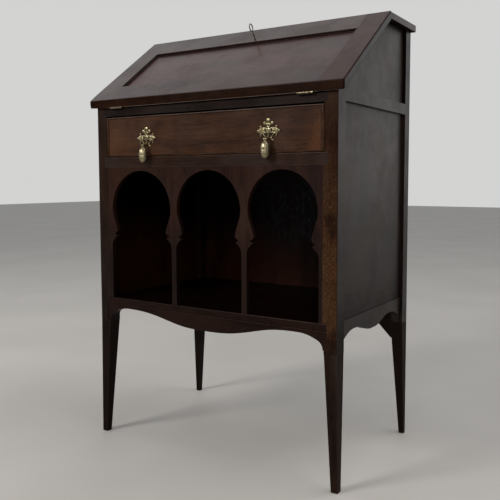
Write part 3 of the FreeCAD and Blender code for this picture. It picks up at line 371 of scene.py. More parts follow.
def make_materials():
    low_gloss = dict(gloss=0.06, coat_rough=0.22, spec=0.15)
    dull = dict(gloss=0.04, coat_rough=0.3, spec=0.12)
    satin = dict(coat_rough=0.26, rough=0.4)
    on_legs = dict(offset=(3.1, 0.4, 0.7), gloss=0.015, coat_rough=0.3, spec=0.05, rough=0.5)
    on_lid = dict(slope=SLOPE, offset=(0.5, 0.3, 0.8))
    # The legs' colours are darker than the posts': painted shade low down, where less light reaches
    mahogany("leg", (0.003, 0.0015, 0.0012), (0.010, 0.0048, 0.0034), (0.014, 0.006, 0.004), "z", **on_legs)
    mahogany("leg_warm", (0.004, 0.0019, 0.0013), (0.0165, 0.0076, 0.0046), (0.022, 0.0095, 0.0055), "z",
             **on_legs)
    mahogany("leg_edge", (0.005, 0.0025, 0.0018), (0.016, 0.0075, 0.005), (0.024, 0.011, 0.007), "z",
             offset=(3.1, 0.4, 0.7), gloss=0.04, coat_rough=0.25, spec=0.1, worn=0.5,
             worn_color=(0.05, 0.024, 0.013), fade=(0.2, 0.34, 0.6, 1.0))
    left_post = (0.006, 0.0025, 0.0016), (0.018, 0.0082, 0.0050)
    right_post = (0.007, 0.0022, 0.0011), (0.028, 0.0090, 0.0036)
    mahogany("post_left", *left_post, (0.024, 0.0110, 0.0062), "z", offset=(2.3, 0.1, 0.9),
             fade=(0.26, 0.44, 0.5, 1.0), gloss=0.03, coat_rough=0.25, spec=0.09)
    mahogany("post_right", *right_post, (0.038, 0.0135, 0.0048), "z", offset=(2.3, 0.1, 0.9), patch=0.62,
             worn_color=(0.105, 0.050, 0.017), fade=(0.266, 0.325, 0.42, 1.0), gloss=0.015, coat_rough=0.25,
             spec=0.06)
    mahogany("rear_post", (0.005, 0.0024, 0.0018), (0.016, 0.0078, 0.0055), (0.022, 0.010, 0.007), "z",
             offset=(1.5, 2.1, 0.6), fade=(0.26, 0.36, 0.6, 1.0), **low_gloss)
    mahogany("rail", (0.009, 0.0038, 0.0024), (0.030, 0.0125, 0.0078), (0.038, 0.016, 0.0085), "x",
             offset=(0.3, 0.7, 0.1), **low_gloss)
    mahogany("rail_edge", (0.012, 0.005, 0.0035), (0.036, 0.016, 0.010), (0.05, 0.024, 0.014), "x",
             offset=(0.3, 0.7, 0.1), worn=0.5, worn_color=(0.09, 0.048, 0.026), **low_gloss)
    mahogany("apron", (0.005, 0.0022, 0.0015), (0.016, 0.007, 0.0048), (0.022, 0.009, 0.0058), "x",
             offset=(0.3, 0.7, 0.1), gloss=0.01, coat_rough=0.28, spec=0.05)
    mahogany("apron_edge", (0.007, 0.003, 0.002), (0.022, 0.010, 0.0065), (0.03, 0.014, 0.009), "x",
             offset=(0.3, 0.7, 0.1), gloss=0.01, coat_rough=0.28, spec=0.08, worn=0.4,
             worn_color=(0.05, 0.026, 0.015))
    mahogany("dark_rail", (0.005, 0.0026, 0.0020), (0.015, 0.0076, 0.0056), (0.024, 0.0105, 0.007), "x",
             offset=(1.3, 0.2, 0.5), gloss=0.03, coat_rough=0.24, spec=0.09)
    mahogany("nose", (0.004, 0.0014, 0.0007), (0.014, 0.0048, 0.0022), (0.024, 0.008, 0.003), "x",
             offset=(2.2, 0.9, 1.5), worn=0.25, worn_color=(0.034, 0.014, 0.006), gloss=0.0, coat_rough=0.2,
             spec=0.03)
    # Painted highlight for the top arris of the drawer bead
    mahogany("highlight_arris", (0.055, 0.036, 0.028), (0.11, 0.08, 0.064), (0.075, 0.048, 0.036), "x",
             offset=(1.2, 0.3, 2.5), **low_gloss)
    mahogany("nose_foot", (0.09, 0.068, 0.055), (0.19, 0.15, 0.12), (0.13, 0.095, 0.075), "x",
             offset=(1.2, 0.3, 2.5), **low_gloss)
    # Near-black strips along the joints between parts and over the gap above the drawer: painted shade in
    # those gaps
    M["seam_shade"] = bare_wood("joint_shade", (0.0014, 0.0008, 0.0006), (0.003, 0.0016, 0.0012), "z",
                          (0.4, 0.2, 0.1))
    mahogany("fret_top", (0.03, 0.018, 0.015), (0.06, 0.038, 0.033), (0.05, 0.028, 0.022), "x",
             offset=(1.2, 0.3, 2.5), **low_gloss)
    mahogany("lid_end", (0.006, 0.0035, 0.003), (0.019, 0.0115, 0.0095), (0.026, 0.015, 0.012), "y",
             slope=SLOPE, offset=(0.4, 1.3, 0.8), gloss=0.16, spec=0.28, **satin)
    mahogany("fret", (0.008, 0.0031, 0.0021), (0.026, 0.0103, 0.0068), (0.034, 0.0136, 0.0083), "z",
             offset=(2.3, 0.1, 0.9), figure=0.6, fade=(0.41, 0.54, 0.5, 1.0), ends=(left_post, right_post),
             patch=0.62, worn_color=(0.105, 0.050, 0.017), gloss=0.04, coat_rough=0.24, spec=0.1)
    mahogany("fret_edge", (0.010, 0.005, 0.0035), (0.032, 0.016, 0.011), (0.05, 0.026, 0.018), "z",
             offset=(2.3, 0.1, 0.9), worn=0.5, worn_color=(0.09, 0.055, 0.038), fade=(0.41, 0.54, 0.6, 1.0),
             **low_gloss)
    for i, shine in enumerate(SIDE_SHINE):
        mahogany("side_%d" % i, (0.009, 0.0052, 0.004), (0.027, 0.0158, 0.0115), (0.038, 0.0205, 0.0135), "z",
                 offset=(0.2, 2.2, 0.3), gloss=0.15 * shine, spec=0.28 * shine, figure=0.35,
                 fade=(0.26, 0.62, 0.35, 1.0), **satin)
    mahogany("rear_side", (0.007, 0.004, 0.0034), (0.019, 0.0115, 0.009), (0.026, 0.015, 0.011), "z",
             offset=(1.2, 2.2, 0.3), gloss=0.12, figure=0.35, spec=0.24, fade=(0.26, 0.62, 0.35, 1.0),
             **satin)
    mahogany("side_rail", (0.009, 0.0055, 0.0046), (0.026, 0.0165, 0.0135), (0.034, 0.020, 0.0155), "y",
             offset=(0.6, 2.9, 1.3), gloss=0.17, spec=0.29, **satin)
    mahogany("side_apron", (0.005, 0.0028, 0.002), (0.015, 0.0085, 0.006), (0.02, 0.011, 0.0075), "y",
             offset=(0.9, 1.9, 1.3), gloss=0.06, coat_rough=0.28, rough=0.42, spec=0.18)
    mahogany("top", (0.011, 0.0046, 0.0038), (0.034, 0.0135, 0.011), (0.042, 0.0175, 0.0135), "x",
             gloss=0.22, coat_rough=0.15, rough=0.36, figure=0.5, spec=0.28, **on_lid)
    mahogany("lid", (0.014, 0.0046, 0.004), (0.044, 0.0145, 0.0125), (0.054, 0.019, 0.0155), "x",
             slope=SLOPE, offset=(1.5, 1.3, 0.2), gloss=0.2, coat_rough=0.14, rough=0.35, figure=0.55,
             spec=0.29)
    mahogany("low_rail", (0.009, 0.0036, 0.003), (0.028, 0.0105, 0.0085), (0.036, 0.014, 0.011), "x",
             slope=SLOPE, offset=(0.5, 0.9, 1.8), gloss=0.2, coat_rough=0.15, rough=0.36, spec=0.26)
    mahogany("top_edge", (0.010, 0.0045, 0.0035), (0.030, 0.013, 0.009), (0.044, 0.02, 0.013), "x",
             gloss=0.25, coat_rough=0.18, spec=0.35, worn=0.45, worn_color=(0.08, 0.04, 0.025), **on_lid)
    mahogany("lid_edge", (0.004, 0.0012, 0.0009), (0.014, 0.0042, 0.003), (0.02, 0.006, 0.004), "x",
             gloss=0.0, coat_rough=0.2, spec=0.02, worn=0.2, worn_color=(0.04, 0.014, 0.010), **on_lid)
    # Shaded, lit and highlighted copies of the moulding's wood: painted light and shade, by which way each
    # run faces
    mahogany("moulding", (0.005, 0.0018, 0.0015), (0.016, 0.0062, 0.0052), (0.024, 0.010, 0.008), "x",
             gloss=0.0, coat_rough=0.2, spec=0.04, **on_lid)
    mahogany("moulding_lit", (0.014, 0.0048, 0.004), (0.042, 0.0142, 0.0122), (0.052, 0.019, 0.0155), "y",
             gloss=0.18, coat_rough=0.15, spec=0.26, **on_lid)
    mahogany("moulding_highlight", (0.16, 0.125, 0.115), (0.30, 0.25, 0.235), (0.22, 0.18, 0.165), "y",
             gloss=0.12, coat_rough=0.18, spec=0.24, **on_lid)
    mahogany("shade", (0.003, 0.0015, 0.0012), (0.008, 0.004, 0.0032), (0.011, 0.0055, 0.004), "x",
             offset=(0.7, 0.3, 1.9), gloss=0.0, coat_rough=0.3, rough=0.6, spec=0.03)
    for side, gloss, spec in (("left", 0.23, 0.29), ("right", 0.1, 0.16)):
        mahogany("stile_" + side, (0.010, 0.0042, 0.0034), (0.031, 0.012, 0.0098), (0.038, 0.0155, 0.012),
                 "y", slope=SLOPE, offset=(1.9, 0.6, 1.8), gloss=gloss, coat_rough=0.15, spec=spec)
    mahogany("drawer", (0.016, 0.0062, 0.0030), (0.056, 0.0225, 0.0100), (0.080, 0.0290, 0.0100), "x",
             offset=(0.1, 0.4, 2.1), figure=0.55, blotch=0.7, pore=0.75, **low_gloss)
    mahogany("bead", (0.010, 0.0042, 0.0025), (0.033, 0.0138, 0.0074), (0.046, 0.020, 0.0100), "x",
             offset=(0.8, 1.4, 0.6), worn=0.35, worn_color=(0.09, 0.045, 0.024), gloss=0.0, coat_rough=0.25,
             spec=0.05)
    # The shelf and the inside faces are near-black: painted shade of the hollows in the case
    mahogany("shelf", (0.0012, 0.0005, 0.0003), (0.004, 0.0013, 0.0008), (0.006, 0.0018, 0.001), "x",
             offset=(2.1, 0.8, 0.2), gloss=0.0, coat_rough=0.3, spec=0.03)
    # The inside walls and the back are lighter low down: painted light where it comes in under the arches
    mahogany("inside_wall", (0.010, 0.0022, 0.0008), (0.032, 0.008, 0.0026), (0.045, 0.010, 0.003), "z",
             offset=(1.7, 0.2, 0.9), fade=(0.40, 0.56, 1.0, 0.12), **dull)
    mahogany("inside", (0.003, 0.0008, 0.0004), (0.011, 0.0026, 0.0012), (0.016, 0.0036, 0.0015), "x",
             offset=(1.1, 0.8, 0.2), **dull)
    mahogany("inside_up", (0.003, 0.0008, 0.0004), (0.011, 0.0026, 0.0012), (0.016, 0.0036, 0.0015), "z",
             offset=(1.5, 0.2, 0.9), **dull)
    mahogany("back", (0.009, 0.0022, 0.0012), (0.030, 0.0078, 0.0040), (0.040, 0.0100, 0.0046), "z",
             offset=(0.7, 1.8, 0.6), rough=0.45, figure=0.65, fade=(0.40, 0.52, 1.0, 0.2),
             curl=((-0.13, -0.03), (0.4, 0.62)), **dull)
    # The back's outer face is lighter than the wood: painted light, as little lamp light reaches it
    mahogany("back_out", (0.020, 0.0085, 0.005), (0.056, 0.0235, 0.0135), (0.075, 0.031, 0.017), "z",
             offset=(0.4, 1.9, 1.1), figure=0.5, gloss=0.03, coat_rough=0.3, rough=0.5, spec=0.15)
    M["lining"] = bare_wood("drawer_lining_wood", (0.24, 0.14, 0.07), (0.40, 0.26, 0.14), "y",
                            (0.2, 0.6, 0.4))
    M["lining_x"] = bare_wood("drawer_lining_wood_across", (0.24, 0.14, 0.07), (0.40, 0.26, 0.14), "x",
                              (0.9, 0.1, 0.4))
    M["leather"] = leather("writing_leather")
    M["brass"] = brass("aged_brass", (0.37, 0.325, 0.205), (0.20, 0.165, 0.09), (0.04, 0.03, 0.015),
                       tarnish=0.6)
    M["plate_brass"] = brass("plate_brass", (0.37, 0.32, 0.19), (0.13, 0.105, 0.05), (0.02, 0.014, 0.007),
                             tarnish=0.9)
    M["hinge_brass"] = brass("hinge_brass", (0.17, 0.145, 0.09), (0.09, 0.07, 0.04), (0.03, 0.02, 0.01),
                             tarnish=0.8)
    M["old_brass"] = brass("dull_brass", (0.42, 0.34, 0.18), (0.20, 0.16, 0.09), (0.05, 0.04, 0.02),
                           rough=0.38)
    M["steel"] = brass("dark_steel", (0.20, 0.19, 0.17), (0.10, 0.09, 0.08), (0.03, 0.02, 0.015), rough=0.4)


# Mesh helpers

def add_object(name, mesh, body, node=None, mats=()):
    obj = bpy.data.objects.new(name, mesh)
    bpy.context.scene.collection.objects.link(obj)
    for m in mats:
        obj.data.materials.append(m)
    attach(obj, body)
    if node:
        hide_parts(*([node] if isinstance(node, str) else node))
    return obj


def smooth(mesh, angle):
    for p in mesh.polygons:
        p.use_smooth = True
    mesh.set_sharp_from_angle(angle=math.radians(angle))


def weighted(obj):
    w = obj.modifiers.new("weighted", "WEIGHTED_NORMAL")
    w.keep_sharp = True
    w.weight = 90
    w.mode = "FACE_AREA"


BODY_OF = {n: b for b, names in frame["record"]["behaviour"]["bodies"].items() for n in names}
ARRIS_ANGLE = math.radians(28)


def bisect(bm, co, no):
    bmesh.ops.bisect_plane(bm, geom=bm.verts[:] + bm.edges[:] + bm.faces[:], plane_co=co, plane_no=no)


def clean_copy(node):
    bm = bmesh.new()
    bm.from_mesh(frame["nodes"][node].data)
    bmesh.ops.remove_doubles(bm, verts=bm.verts, dist=4e-6)
    bmesh.ops.dissolve_limit(bm, angle_limit=math.radians(0.7), verts=bm.verts, edges=bm.edges)
    return bm


def dressed(node, width, mat, edge=None, segments=3, slant=None, other=(), strips=(), bold=(), cut=(),
            keep=None, reshape=None, finish_end=None):
    """A copy of the node with its arrises worn round, whose worn strips take the edge material if given.

    other lists (test, material): faces whose normal and middle pass the test take that material.
    strips does the same for the worn strips. bold lists (test, width) for arrises worn further than
    the rest. keep is the test of the arrises that stay sharp. reshape moves the corners before they
    are rounded, and finish_end shapes the mesh after that. cut lists the heights where a face is divided.
    """
    bm = clean_copy(node)
    if reshape:
        for v in bm.verts:
            v.co = reshape(v.co)
        bm.normal_update()

    def arrises(test):
        return [e for e in bm.edges if len(e.link_faces) == 2 and e.calc_face_angle(0) > ARRIS_ANGLE
                and test((e.verts[0].co + e.verts[1].co) / 2)]

    def wear(edges, offset, steps, profile):
        made = bmesh.ops.bevel(bm, geom=edges, offset=offset, offset_type="OFFSET", segments=steps,
                               profile=profile, affect="EDGES", clamp_overlap=True, material=1)
        for f in made["faces"]:
            f.material_index = 1

    for test, far_width in bold:
        wear(arrises(test), far_width, 5, 0.5)
    wear(arrises(lambda middle: not (keep and keep(middle))), width, segments, 0.62)
    if finish_end:
        finish_end(bm)
    for level in cut:
        bisect(bm, (0, 0, level), (0, 0, 1))
    bm.normal_update()
    for f in bm.faces:
        if slant and slant(f.normal):
            f.material_index = 1
        middle = f.calc_center_median()
        for i, (test, name) in enumerate(other):
            if f.material_index == 0 and test(f.normal, middle):
                f.material_index = 2 + i
        for i, (test, name) in enumerate(strips):
            if f.material_index == 1 and test(f.normal, middle):
                f.material_index = 2 + len(other) + i
    mesh = bpy.data.meshes.new(node + "_wood")
    bm.to_mesh(mesh)
    bm.free()
    smooth(mesh, 42.0)
    mats = [M[mat], M[edge or mat]] + [M[name] for test, name in (*other, *strips)]
    weighted(add_object(node + "_dressed", mesh, BODY_OF[node], node, mats))


def diagonal(n):
    """True for the rounded corner of a post, whose face looks neither straight ahead nor sideways."""
    return abs(n.z) < 0.4 and 0.2 < abs(n.x) < 0.98 and 0.2 < abs(n.y) < 0.98


def plumb_nose(n, c):
    return n.y < -SQUARE_ON


def nose_foot(n, c):
    return c.z < BED_Z + 0.0012 and c.y < POST_Y - 0.004


def outer_side(n, c):
    return abs(n.x) > SQUARE_ON and c.x * n.x > 0 and c.z > LEG_Z


def inner_side(n, c):
    return n.x * c.x < -0.0001


def side_band(i):
    """The test of the outer side faces between two levels of the polish."""
    low = SIDE_LEVELS[i]
    high = (*SIDE_LEVELS, math.inf)[i + 1]

    def test(n, c):
        return outer_side(n, c) and low < c.z < high
    return test


def below_posts(n, c):
    return c.z < LEG_Z


def lid_end(n, c):
    return abs(n.x) > SQUARE_ON


def underside(n, c):
    return n.z < -0.9


def dark_reveal(n, c):
    """The front of the rear posts above the writing bed, in the shade of the top board."""
    return n.y < -0.9 and c.z > 0.77 and c.y > 0.1


def beside_frame(n, c):
    """The arris of a front post beside the rails over the fret, which takes the painted shade of the joint.
    """
    return abs(abs(c.x) - 0.2885) < 0.0045 and c.y < POST_Y + 0.001 and c.z > 0.6


def rail_end(c):
    return abs(c.x) > LET_IN_X - 0.0025


def flush(c):
    """True for the joints of the fret with the posts, which are planed off level."""
    return abs(abs(c.x) - LET_IN_X) < 0.001 and c.y < POST_Y + 0.001 and 0.34 < c.z < 0.62


def nose_line(c):
    return c.z < BED_Z + 0.001 and c.y < PIN_Y + 0.001


def outer_arris(c):
    return abs(c.x) > FALL_HALF_W - 0.002 or nose_line(c)


def left_corner(c):
    return c.x < -0.32 and c.y < PIN_Y + 0.003 and BED_Z + 0.004 < c.z < BED_Z + 0.025


def worn_corner(co):
    """The left end of the fall's front edge: worn thinner from below and a little proud at the side."""
    if co.x < -0.32 and co.z < BED_Z + 0.05 and co.y < PIN_Y + 0.012:
        lift = 0.0028 if co.z < BED_Z + 0.002 else 0.0
        return co + Vector((-0.0052, 0, lift))
    return co


def round_low_end(bm):
    """The left end of the fall's front edge, worn to a round in the front view."""
    left = min(v.co.x for v in bm.verts)
    low = min(v.co.z for v in bm.verts if v.co.x < left + 0.004)
    radius = 0.0075
    for f in (0.1, 0.3, 0.6, 1.0):
        for co, no in (((left + radius * f, 0, 0), (1, 0, 0)), ((0, 0, low + radius * f), (0, 0, 1))):
            bisect(bm, co, no)
    for v in bm.verts:
        dx, dz = v.co.x - left - radius, v.co.z - low - radius
        if dx < 0 and dz < 0 and v.co.y < PIN_Y + 0.02:
            share = max(-dx, -dz) / math.hypot(dx, dz)
            v.co.x += dx * (share - 1)
            v.co.z += dz * (share - 1)
    bm.normal_update()


def dress_wood():
    bands = [(side_band(i), "side_%d" % i) for i in range(len(SIDE_LEVELS))]
    for side in ("left", "right"):
        # Below the posts the legs take the darker leg colours, painted shade
        dressed("front_leg_" + side, 0.0007, "post_" + side, "leg_edge", slant=diagonal,
                other=(*bands, (below_posts, "leg_warm" if side == "right" else "leg")),
                strips=((beside_frame, "seam_shade"),), cut=(LEG_Z, *SIDE_LEVELS[1:]), keep=flush)
        dressed("rear_leg_" + side, 0.0007, "rear_post", "leg_edge", slant=diagonal,
                other=((outer_side, "rear_side"), (below_posts, "leg"), (dark_reveal, "shade")),
                cut=(LEG_Z, BED_Z + 0.0088))
        dressed("side_apron_" + side, 0.0013, "side_apron", segments=4)
        dressed("side_mid_rail_" + side, 0.0006, "side_rail")
        dressed("side_lower_panel_" + side, 0.0003, SIDE_TOP, other=((inner_side, "inside_wall"), *bands),
                cut=SIDE_LEVELS[1:])
        dressed("side_upper_panel_" + side, 0.0003, SIDE_TOP, other=((inner_side, "inside_up"),))
        dressed("side_lining_" + side, 0.0006, "inside_up")
        dressed("drawer_runner_" + side, 0.0006, "lining")
        dressed("drawer_side_" + side, 0.0009, "lining")
        dressed("fall_stile_" + side, 0.00035, "stile_" + side, "lid_edge", 2,
                other=((plumb_nose, "nose"), (lid_end, "lid_end")), strips=((nose_foot, "nose_foot"),),
                bold=((left_corner, 0.0055), (outer_arris, 0.0022)), reshape=worn_corner,
                finish_end=round_low_end if side == "left" else None)
    dressed("top_board", 0.0026, "top", "top_edge", 5, other=((underside, "shade"),))
    dressed("fall_bottom_rail", 0.0004, "low_rail", "lid_edge", 2, other=((plumb_nose, "nose"),),
            strips=((nose_foot, "nose_foot"),), bold=((nose_line, 0.0013),))
    dressed("fall_top_rail", 0.00035, "top", "lid_edge", 2)
    dressed("fall_panel", 0.0002, "lid", segments=2)
    # The lower arris of the dark rail over the drawer gap, and the ends of the rails and the shelf, take the
    # painted shade of the joints
    dressed("top_front_rail", 0.0006, "dark_rail",
            strips=((lambda n, c: c.z < DARK_RAIL_Z + 0.0009 or rail_end(c), "seam_shade"),))
    dressed("drawer_rail", 0.0007, "rail", "rail_edge",
            strips=((lambda n, c: c.z < FRET_TOP_Z + 0.0008 or rail_end(c), "seam_shade"),))
    dressed("arch_fret", 0.0008, "fret", "fret_edge",
            strips=((lambda n, c: c.z > FRET_TOP_Z - 0.0015, "fret_top"),), keep=flush)
    dressed("shelf_board", 0.0006, "shelf", "rail_edge",
            other=((lambda n, c: n.y < -0.5 or c.z < SHELF_LOW_Z + 0.002, "apron"),),
            strips=((lambda n, c: rail_end(c), "seam_shade"),))
    dressed("front_apron", 0.0009, "apron", "apron_edge")
    dressed("rear_apron", 0.0006, "apron")
    dressed("writing_bed", 0.0003, "inside")
    dressed("pigeon_dividers", 0.0012, "inside_up", "rail_edge", 4)
    dressed("pigeon_shelves", 0.0010, "inside", "rail_edge", 4)
    # The back's outer face takes the lighter back_out colour, painted light
    dressed("back_panel", 0.0010, "back", "back_out", other=((lambda n, c: n.y > 0.9, "back_out"),))
    dressed("dust_board", 0.0004, "lining_x")
    dressed("drawer_front", 0.0003, "drawer")
    dressed("drawer_back", 0.0009, "lining_x")
    dressed("drawer_bottom", 0.0003, "lining_x")
    dressed("drawer_stops", 0.0006, "lining")
    dressed("writing_inset", 0.0003, "leather")


def frame_ring(place, half_w, low, high, in_u, in_v, up):
    """The corners of a rectangle on a face, drawn in by in_u and in_v and raised by up."""
    u, v0, v1 = half_w - in_u, low + in_v, high - in_v
    return [place(-u, v0, up), place(u, v0, up), place(u, v1, up), place(-u, v1, up)]


def mitred(name, rings):
    """A closed mitred frame. Each ring holds one point of its section, at the four corners."""
    faces = []
    for i in range(len(rings)):
        j = (i + 1) % len(rings)
        for k in range(4):
            m = (k + 1) % 4
            faces.append((i * 4 + k, i * 4 + m, j * 4 + m, j * 4 + k))
    mesh = bpy.data.meshes.new(name)
    mesh.from_pydata([tuple(v) for ring in rings for v in ring], [], faces)
    bm = bmesh.new()
    bm.from_mesh(mesh)
    bmesh.ops.recalc_face_normals(bm, faces=bm.faces)
    bm.to_mesh(mesh)
    bm.free()
    smooth(mesh, 33.0)
    return mesh


def arc(cx, cy, r, a0, a1, steps):
    return [(cx + r * math.cos(math.radians(a0 + (a1 - a0) * i / steps)),
             cy + r * math.sin(math.radians(a0 + (a1 - a0) * i / steps))) for i in range(steps + 1)]


def make_fall_moulding():
    """The moulding round the sunk panel: its section is (inward, up) points."""
    lip = PANEL_H + 0.0046
    hollow = arc(0.0056, lip - 0.0004, 0.0038, 180, 262, 8)
    section = [(0.00005, PANEL_H), (0.00005, lip), (0.0010, lip + 0.0002), (0.0016, lip)] + hollow
    section += [(0.0060, PANEL_H + 0.0005), (0.0066, PANEL_H)]
    half_w, low, high = FALL_HALF_W - STILE_W, LOW_RAIL_W, FALL_LEN - HIGH_RAIL_W
    rings = [frame_ring(on_slope, half_w, low, high, inward, inward, up) for inward, up in section]
    mesh = mitred("fall_moulding_run", rings)
    plain, lit, pale = range(3)
    for i, p in enumerate(mesh.polygons):
        step, run = divmod(i, 4)
        # Painted light: the bottom and right runs take a lit copy of the wood and the top and left runs a
        # shaded copy, and the right run has a painted highlight along its lip
        if run == 1 and step in (1, 2):
            p.material_index = pale
        else:
            p.material_index = lit if run < 2 else plain
    add_object("fall_moulding_run", mesh, "fall", "fall_moulding",
               (M["moulding"], M["moulding_lit"], M["moulding_highlight"]))


def make_drawer_bead():
    """The bead round the drawer front: its section is (share of the width, out) points."""
    def on_drawer(u, v, out):
        return Vector((u, DRAWER_FACE_Y - out, v))

    side_w, top_w = 0.008, 0.0032
    section = [(0.0, -0.020), (0.0, -0.0004), (0.10, 0.0006), (0.24, 0.0012), (0.36, 0.0014), (0.80, 0.0014),
               (0.92, 0.0009), (0.985, 0.0001), (1.0, -0.0004), (1.0, -0.020)]
    rings = [frame_ring(on_drawer, DRAWER_HALF_W, *DRAWER_Z, share * side_w, share * top_w, out)
             for share, out in section]
    mesh = mitred("drawer_bead_run", rings)
    # The top strip of the bead is paler: a painted highlight where its round catches the light from above
    for p in mesh.polygons:
        if p.center.z > DRAWER_Z[1] - 0.0010 and p.center.y < DRAWER_FACE_Y + 0.001:
            p.material_index = 1
    add_object("drawer_bead_run", mesh, "drawer", "drawer_bead",
               (M["bead"], M["highlight_arris"]))


# Turned and cast brass

UPRIGHT = Matrix.Rotation(math.radians(90), 4, "X")
ACROSS = Matrix.Rotation(math.radians(90), 4, "Y")


def turned(name, profile, centre, mats, body, node, steps):
    """A piece turned about an upright axis: profile is (radius, height) points from one end to the other."""
    bm = bmesh.new()
    angles = [2 * math.pi * i / steps for i in range(steps)]
    rings = []
    for r, z in profile:
        if r == 0:
            rings.append([bm.verts.new((0, 0, z))] * steps)
        else:
            rings.append([bm.verts.new((r * math.cos(t), r * math.sin(t), z)) for t in angles])
    for low, high in zip(rings, rings[1:]):
        for i in range(steps):
            j = (i + 1) % steps
            corners = list(dict.fromkeys((low[i], low[j], high[j], high[i])))
            bm.faces.new(corners)
    for v in bm.verts:
        v.co += Vector(centre)
    bmesh.ops.recalc_face_normals(bm, faces=bm.faces)
    mesh = bpy.data.meshes.new(name)
    bm.to_mesh(mesh)
    bm.free()
    smooth(mesh, 50.0)
    add_object(name, mesh, body, node, mats)


def unit_form(kind, minor):
    """Corners and faces of a ball, rod or ring of radius 1; minor is the ring's own thickness."""
    verts, faces = [], []
    if kind == "ring":
        steps, around = 28, 12
        for i in range(steps):
            t = 2 * math.pi * i / steps
            for k in range(around):
                p = 2 * math.pi * k / around
                r = 1 - minor + minor * math.cos(p)
                verts.append((r * math.cos(t), r * math.sin(t), math.sin(p)))
                faces.append((i * around + k, (i + 1) % steps * around + k,
                              (i + 1) % steps * around + (k + 1) % around, i * around + (k + 1) % around))
        return verts, faces
    steps = 18
    if kind == "sphere":
        bands = [(math.cos(math.radians(a)), math.sin(math.radians(a))) for a in range(-75, 76, 15)]
    else:
        bands = [(1.0, -1.0), (1.0, 1.0)]
    for r, z in bands:
        verts += [(r * math.cos(2 * math.pi * i / steps), r * math.sin(2 * math.pi * i / steps), z)
                  for i in range(steps)]
    for k in range(len(bands) - 1):
        for i in range(steps):
            j = (i + 1) % steps
            faces.append((k * steps + i, k * steps + j, (k + 1) * steps + j, (k + 1) * steps + i))
    faces.append(tuple(range(steps))[::-1])
    faces.append(tuple(range((len(bands) - 1) * steps, len(bands) * steps)))
    return verts, faces


def blob(form, centre, size, turn=None, kind="sphere", minor=0.25):
    """Adds one stretched ball, rod or ring to a list of forms that cast() joins."""
    m = Matrix.Translation(Vector(centre))
    if turn is not None:
        m = m @ turn
    m = m @ Matrix.Diagonal((*size, 1))
    verts, faces = unit_form(kind, minor)
    start = len(form["verts"])
    form["verts"] += [tuple(m @ Vector(v)) for v in verts]
    form["faces"] += [tuple(start + i for i in f) for f in faces]


def cast(form, name, voxel, body, node, mats, ease):
    """Joins overlapping forms into one casting; ease is how far their meeting lines are smoothed."""
    mesh = bpy.data.meshes.new(name + "_raw")
    mesh.from_pydata(form["verts"], [], form["faces"])
    raw = bpy.data.objects.new(name + "_raw", mesh)
    bpy.context.scene.collection.objects.link(raw)
    r = raw.modifiers.new("remesh", "REMESH")
    r.mode = "VOXEL"
    r.voxel_size = voxel
    sm = raw.modifiers.new("smooth", "SMOOTH")
    sm.factor = 0.5
    sm.iterations = ease
    bpy.context.view_layer.update()
    done = bpy.data.meshes.new_from_object(raw.evaluated_get(bpy.context.evaluated_depsgraph_get()))
    bpy.data.objects.remove(raw)
    bpy.data.meshes.remove(mesh)
    done.name = name
    for p in done.polygons:
        p.use_smooth = True
    add_object(name, done, body, node, mats)


def make_plate(side, cx, cz, drop_z):
    """Pierced back plate: a cross with trefoil ends over two scrolled prongs, and the drop's knuckle."""
    y = DRAWER_FACE_Y
    t = 0.0011
    form = {"verts": [], "faces": []}

    def ring(u, v, r, minor, thick):
        blob(form, (cx + u, y - t, cz + v), (r, r, thick), UPRIGHT, "ring", minor)

    def ball(u, v, r, high):
        blob(form, (cx + u, y - t * 0.9, cz + v), (r, t * 1.25 * high, r))

    def bar(u0, v0, u1, v1, r0, r1, steps):
        for i in range(steps + 1):
            f = i / steps
            rr = r0 + (r1 - r0) * f
            blob(form, (cx + u0 + (u1 - u0) * f, y - t * 0.8, cz + v0 + (v1 - v0) * f), (rr, t * 1.05, rr))

    ring(0, 0, 0.0062, 0.38, t * 1.35)
    ball(0, 0, 0.0038, 1.7)
    ring(0, 0.0105, 0.0050, 0.40, t * 1.2)
    ball(0, 0.0196, 0.0054, 1.5)
    lug_mid = 0.00265
    for k in (-1, 1):
        bar(k * 0.0046, 0.0130, k * 0.0074, 0.0150, 0.0020, 0.0022, 6)
        ball(k * 0.0088, 0.0152, 0.0036, 1.4)
        bar(k * 0.0052, 0.0048, k * 0.0150, 0.0050, 0.0017, 0.0015, 9)
        bar(k * 0.0054, -0.0030, k * 0.0150, -0.0044, 0.0015, 0.0015, 9)
        ring(k * 0.0120, 0.0002, 0.0040, 0.40, t * 1.1)
        ring(k * 0.0196, 0, 0.0050, 0.42, t * 1.2)
        ball(k * 0.0196, 0, 0.0026, 1.5)
        ball(k * 0.0246, 0, 0.0026, 1.3)
        bar(k * 0.0180, 0.0045, k * 0.0186, 0.0092, 0.0026, 0.0019, 7)
        bar(k * 0.0180, -0.0045, k * 0.0180, -0.0098, 0.0026, 0.0019, 7)
        bar(k * 0.0120, -0.0066, k * 0.0072, -0.0118, 0.0012, 0.0011, 9)
        bar(k * 0.0072, -0.0118, k * 0.0066, -0.0160, 0.0011, 0.0012, 8)
        bar(k * 0.0066, -0.0160, k * 0.0104, -0.0184, 0.0013, 0.0017, 8)
        blob(form, (cx + k * lug_mid, DROP_Y, drop_z), (0.0027, 0.0027, 0.00075), ACROSS, "rod")
        for i in range(12):
            f = i / 11
            blob(form, (cx + k * lug_mid, DROP_Y + (y - 0.0012 - DROP_Y) * f, drop_z + 0.0050 * f * f),
                 (0.00075, 0.0022, 0.0026 + 0.0004 * f))
    bar(-0.0070, -0.0136, 0.0070, -0.0136, 0.0013, 0.0013, 10)
    bar(0, -0.0055, 0, -0.0136, 0.0017, 0.0017, 8)
    blob(form, (cx, DROP_Y, drop_z), (0.00095, 0.00095, 0.0031), ACROSS, "rod")
    node = "handle_plate_" + side
    voxel = 0.00032
    cast(form, node + "_cast", voxel, "drawer", node, (M["plate_brass"],), 2)


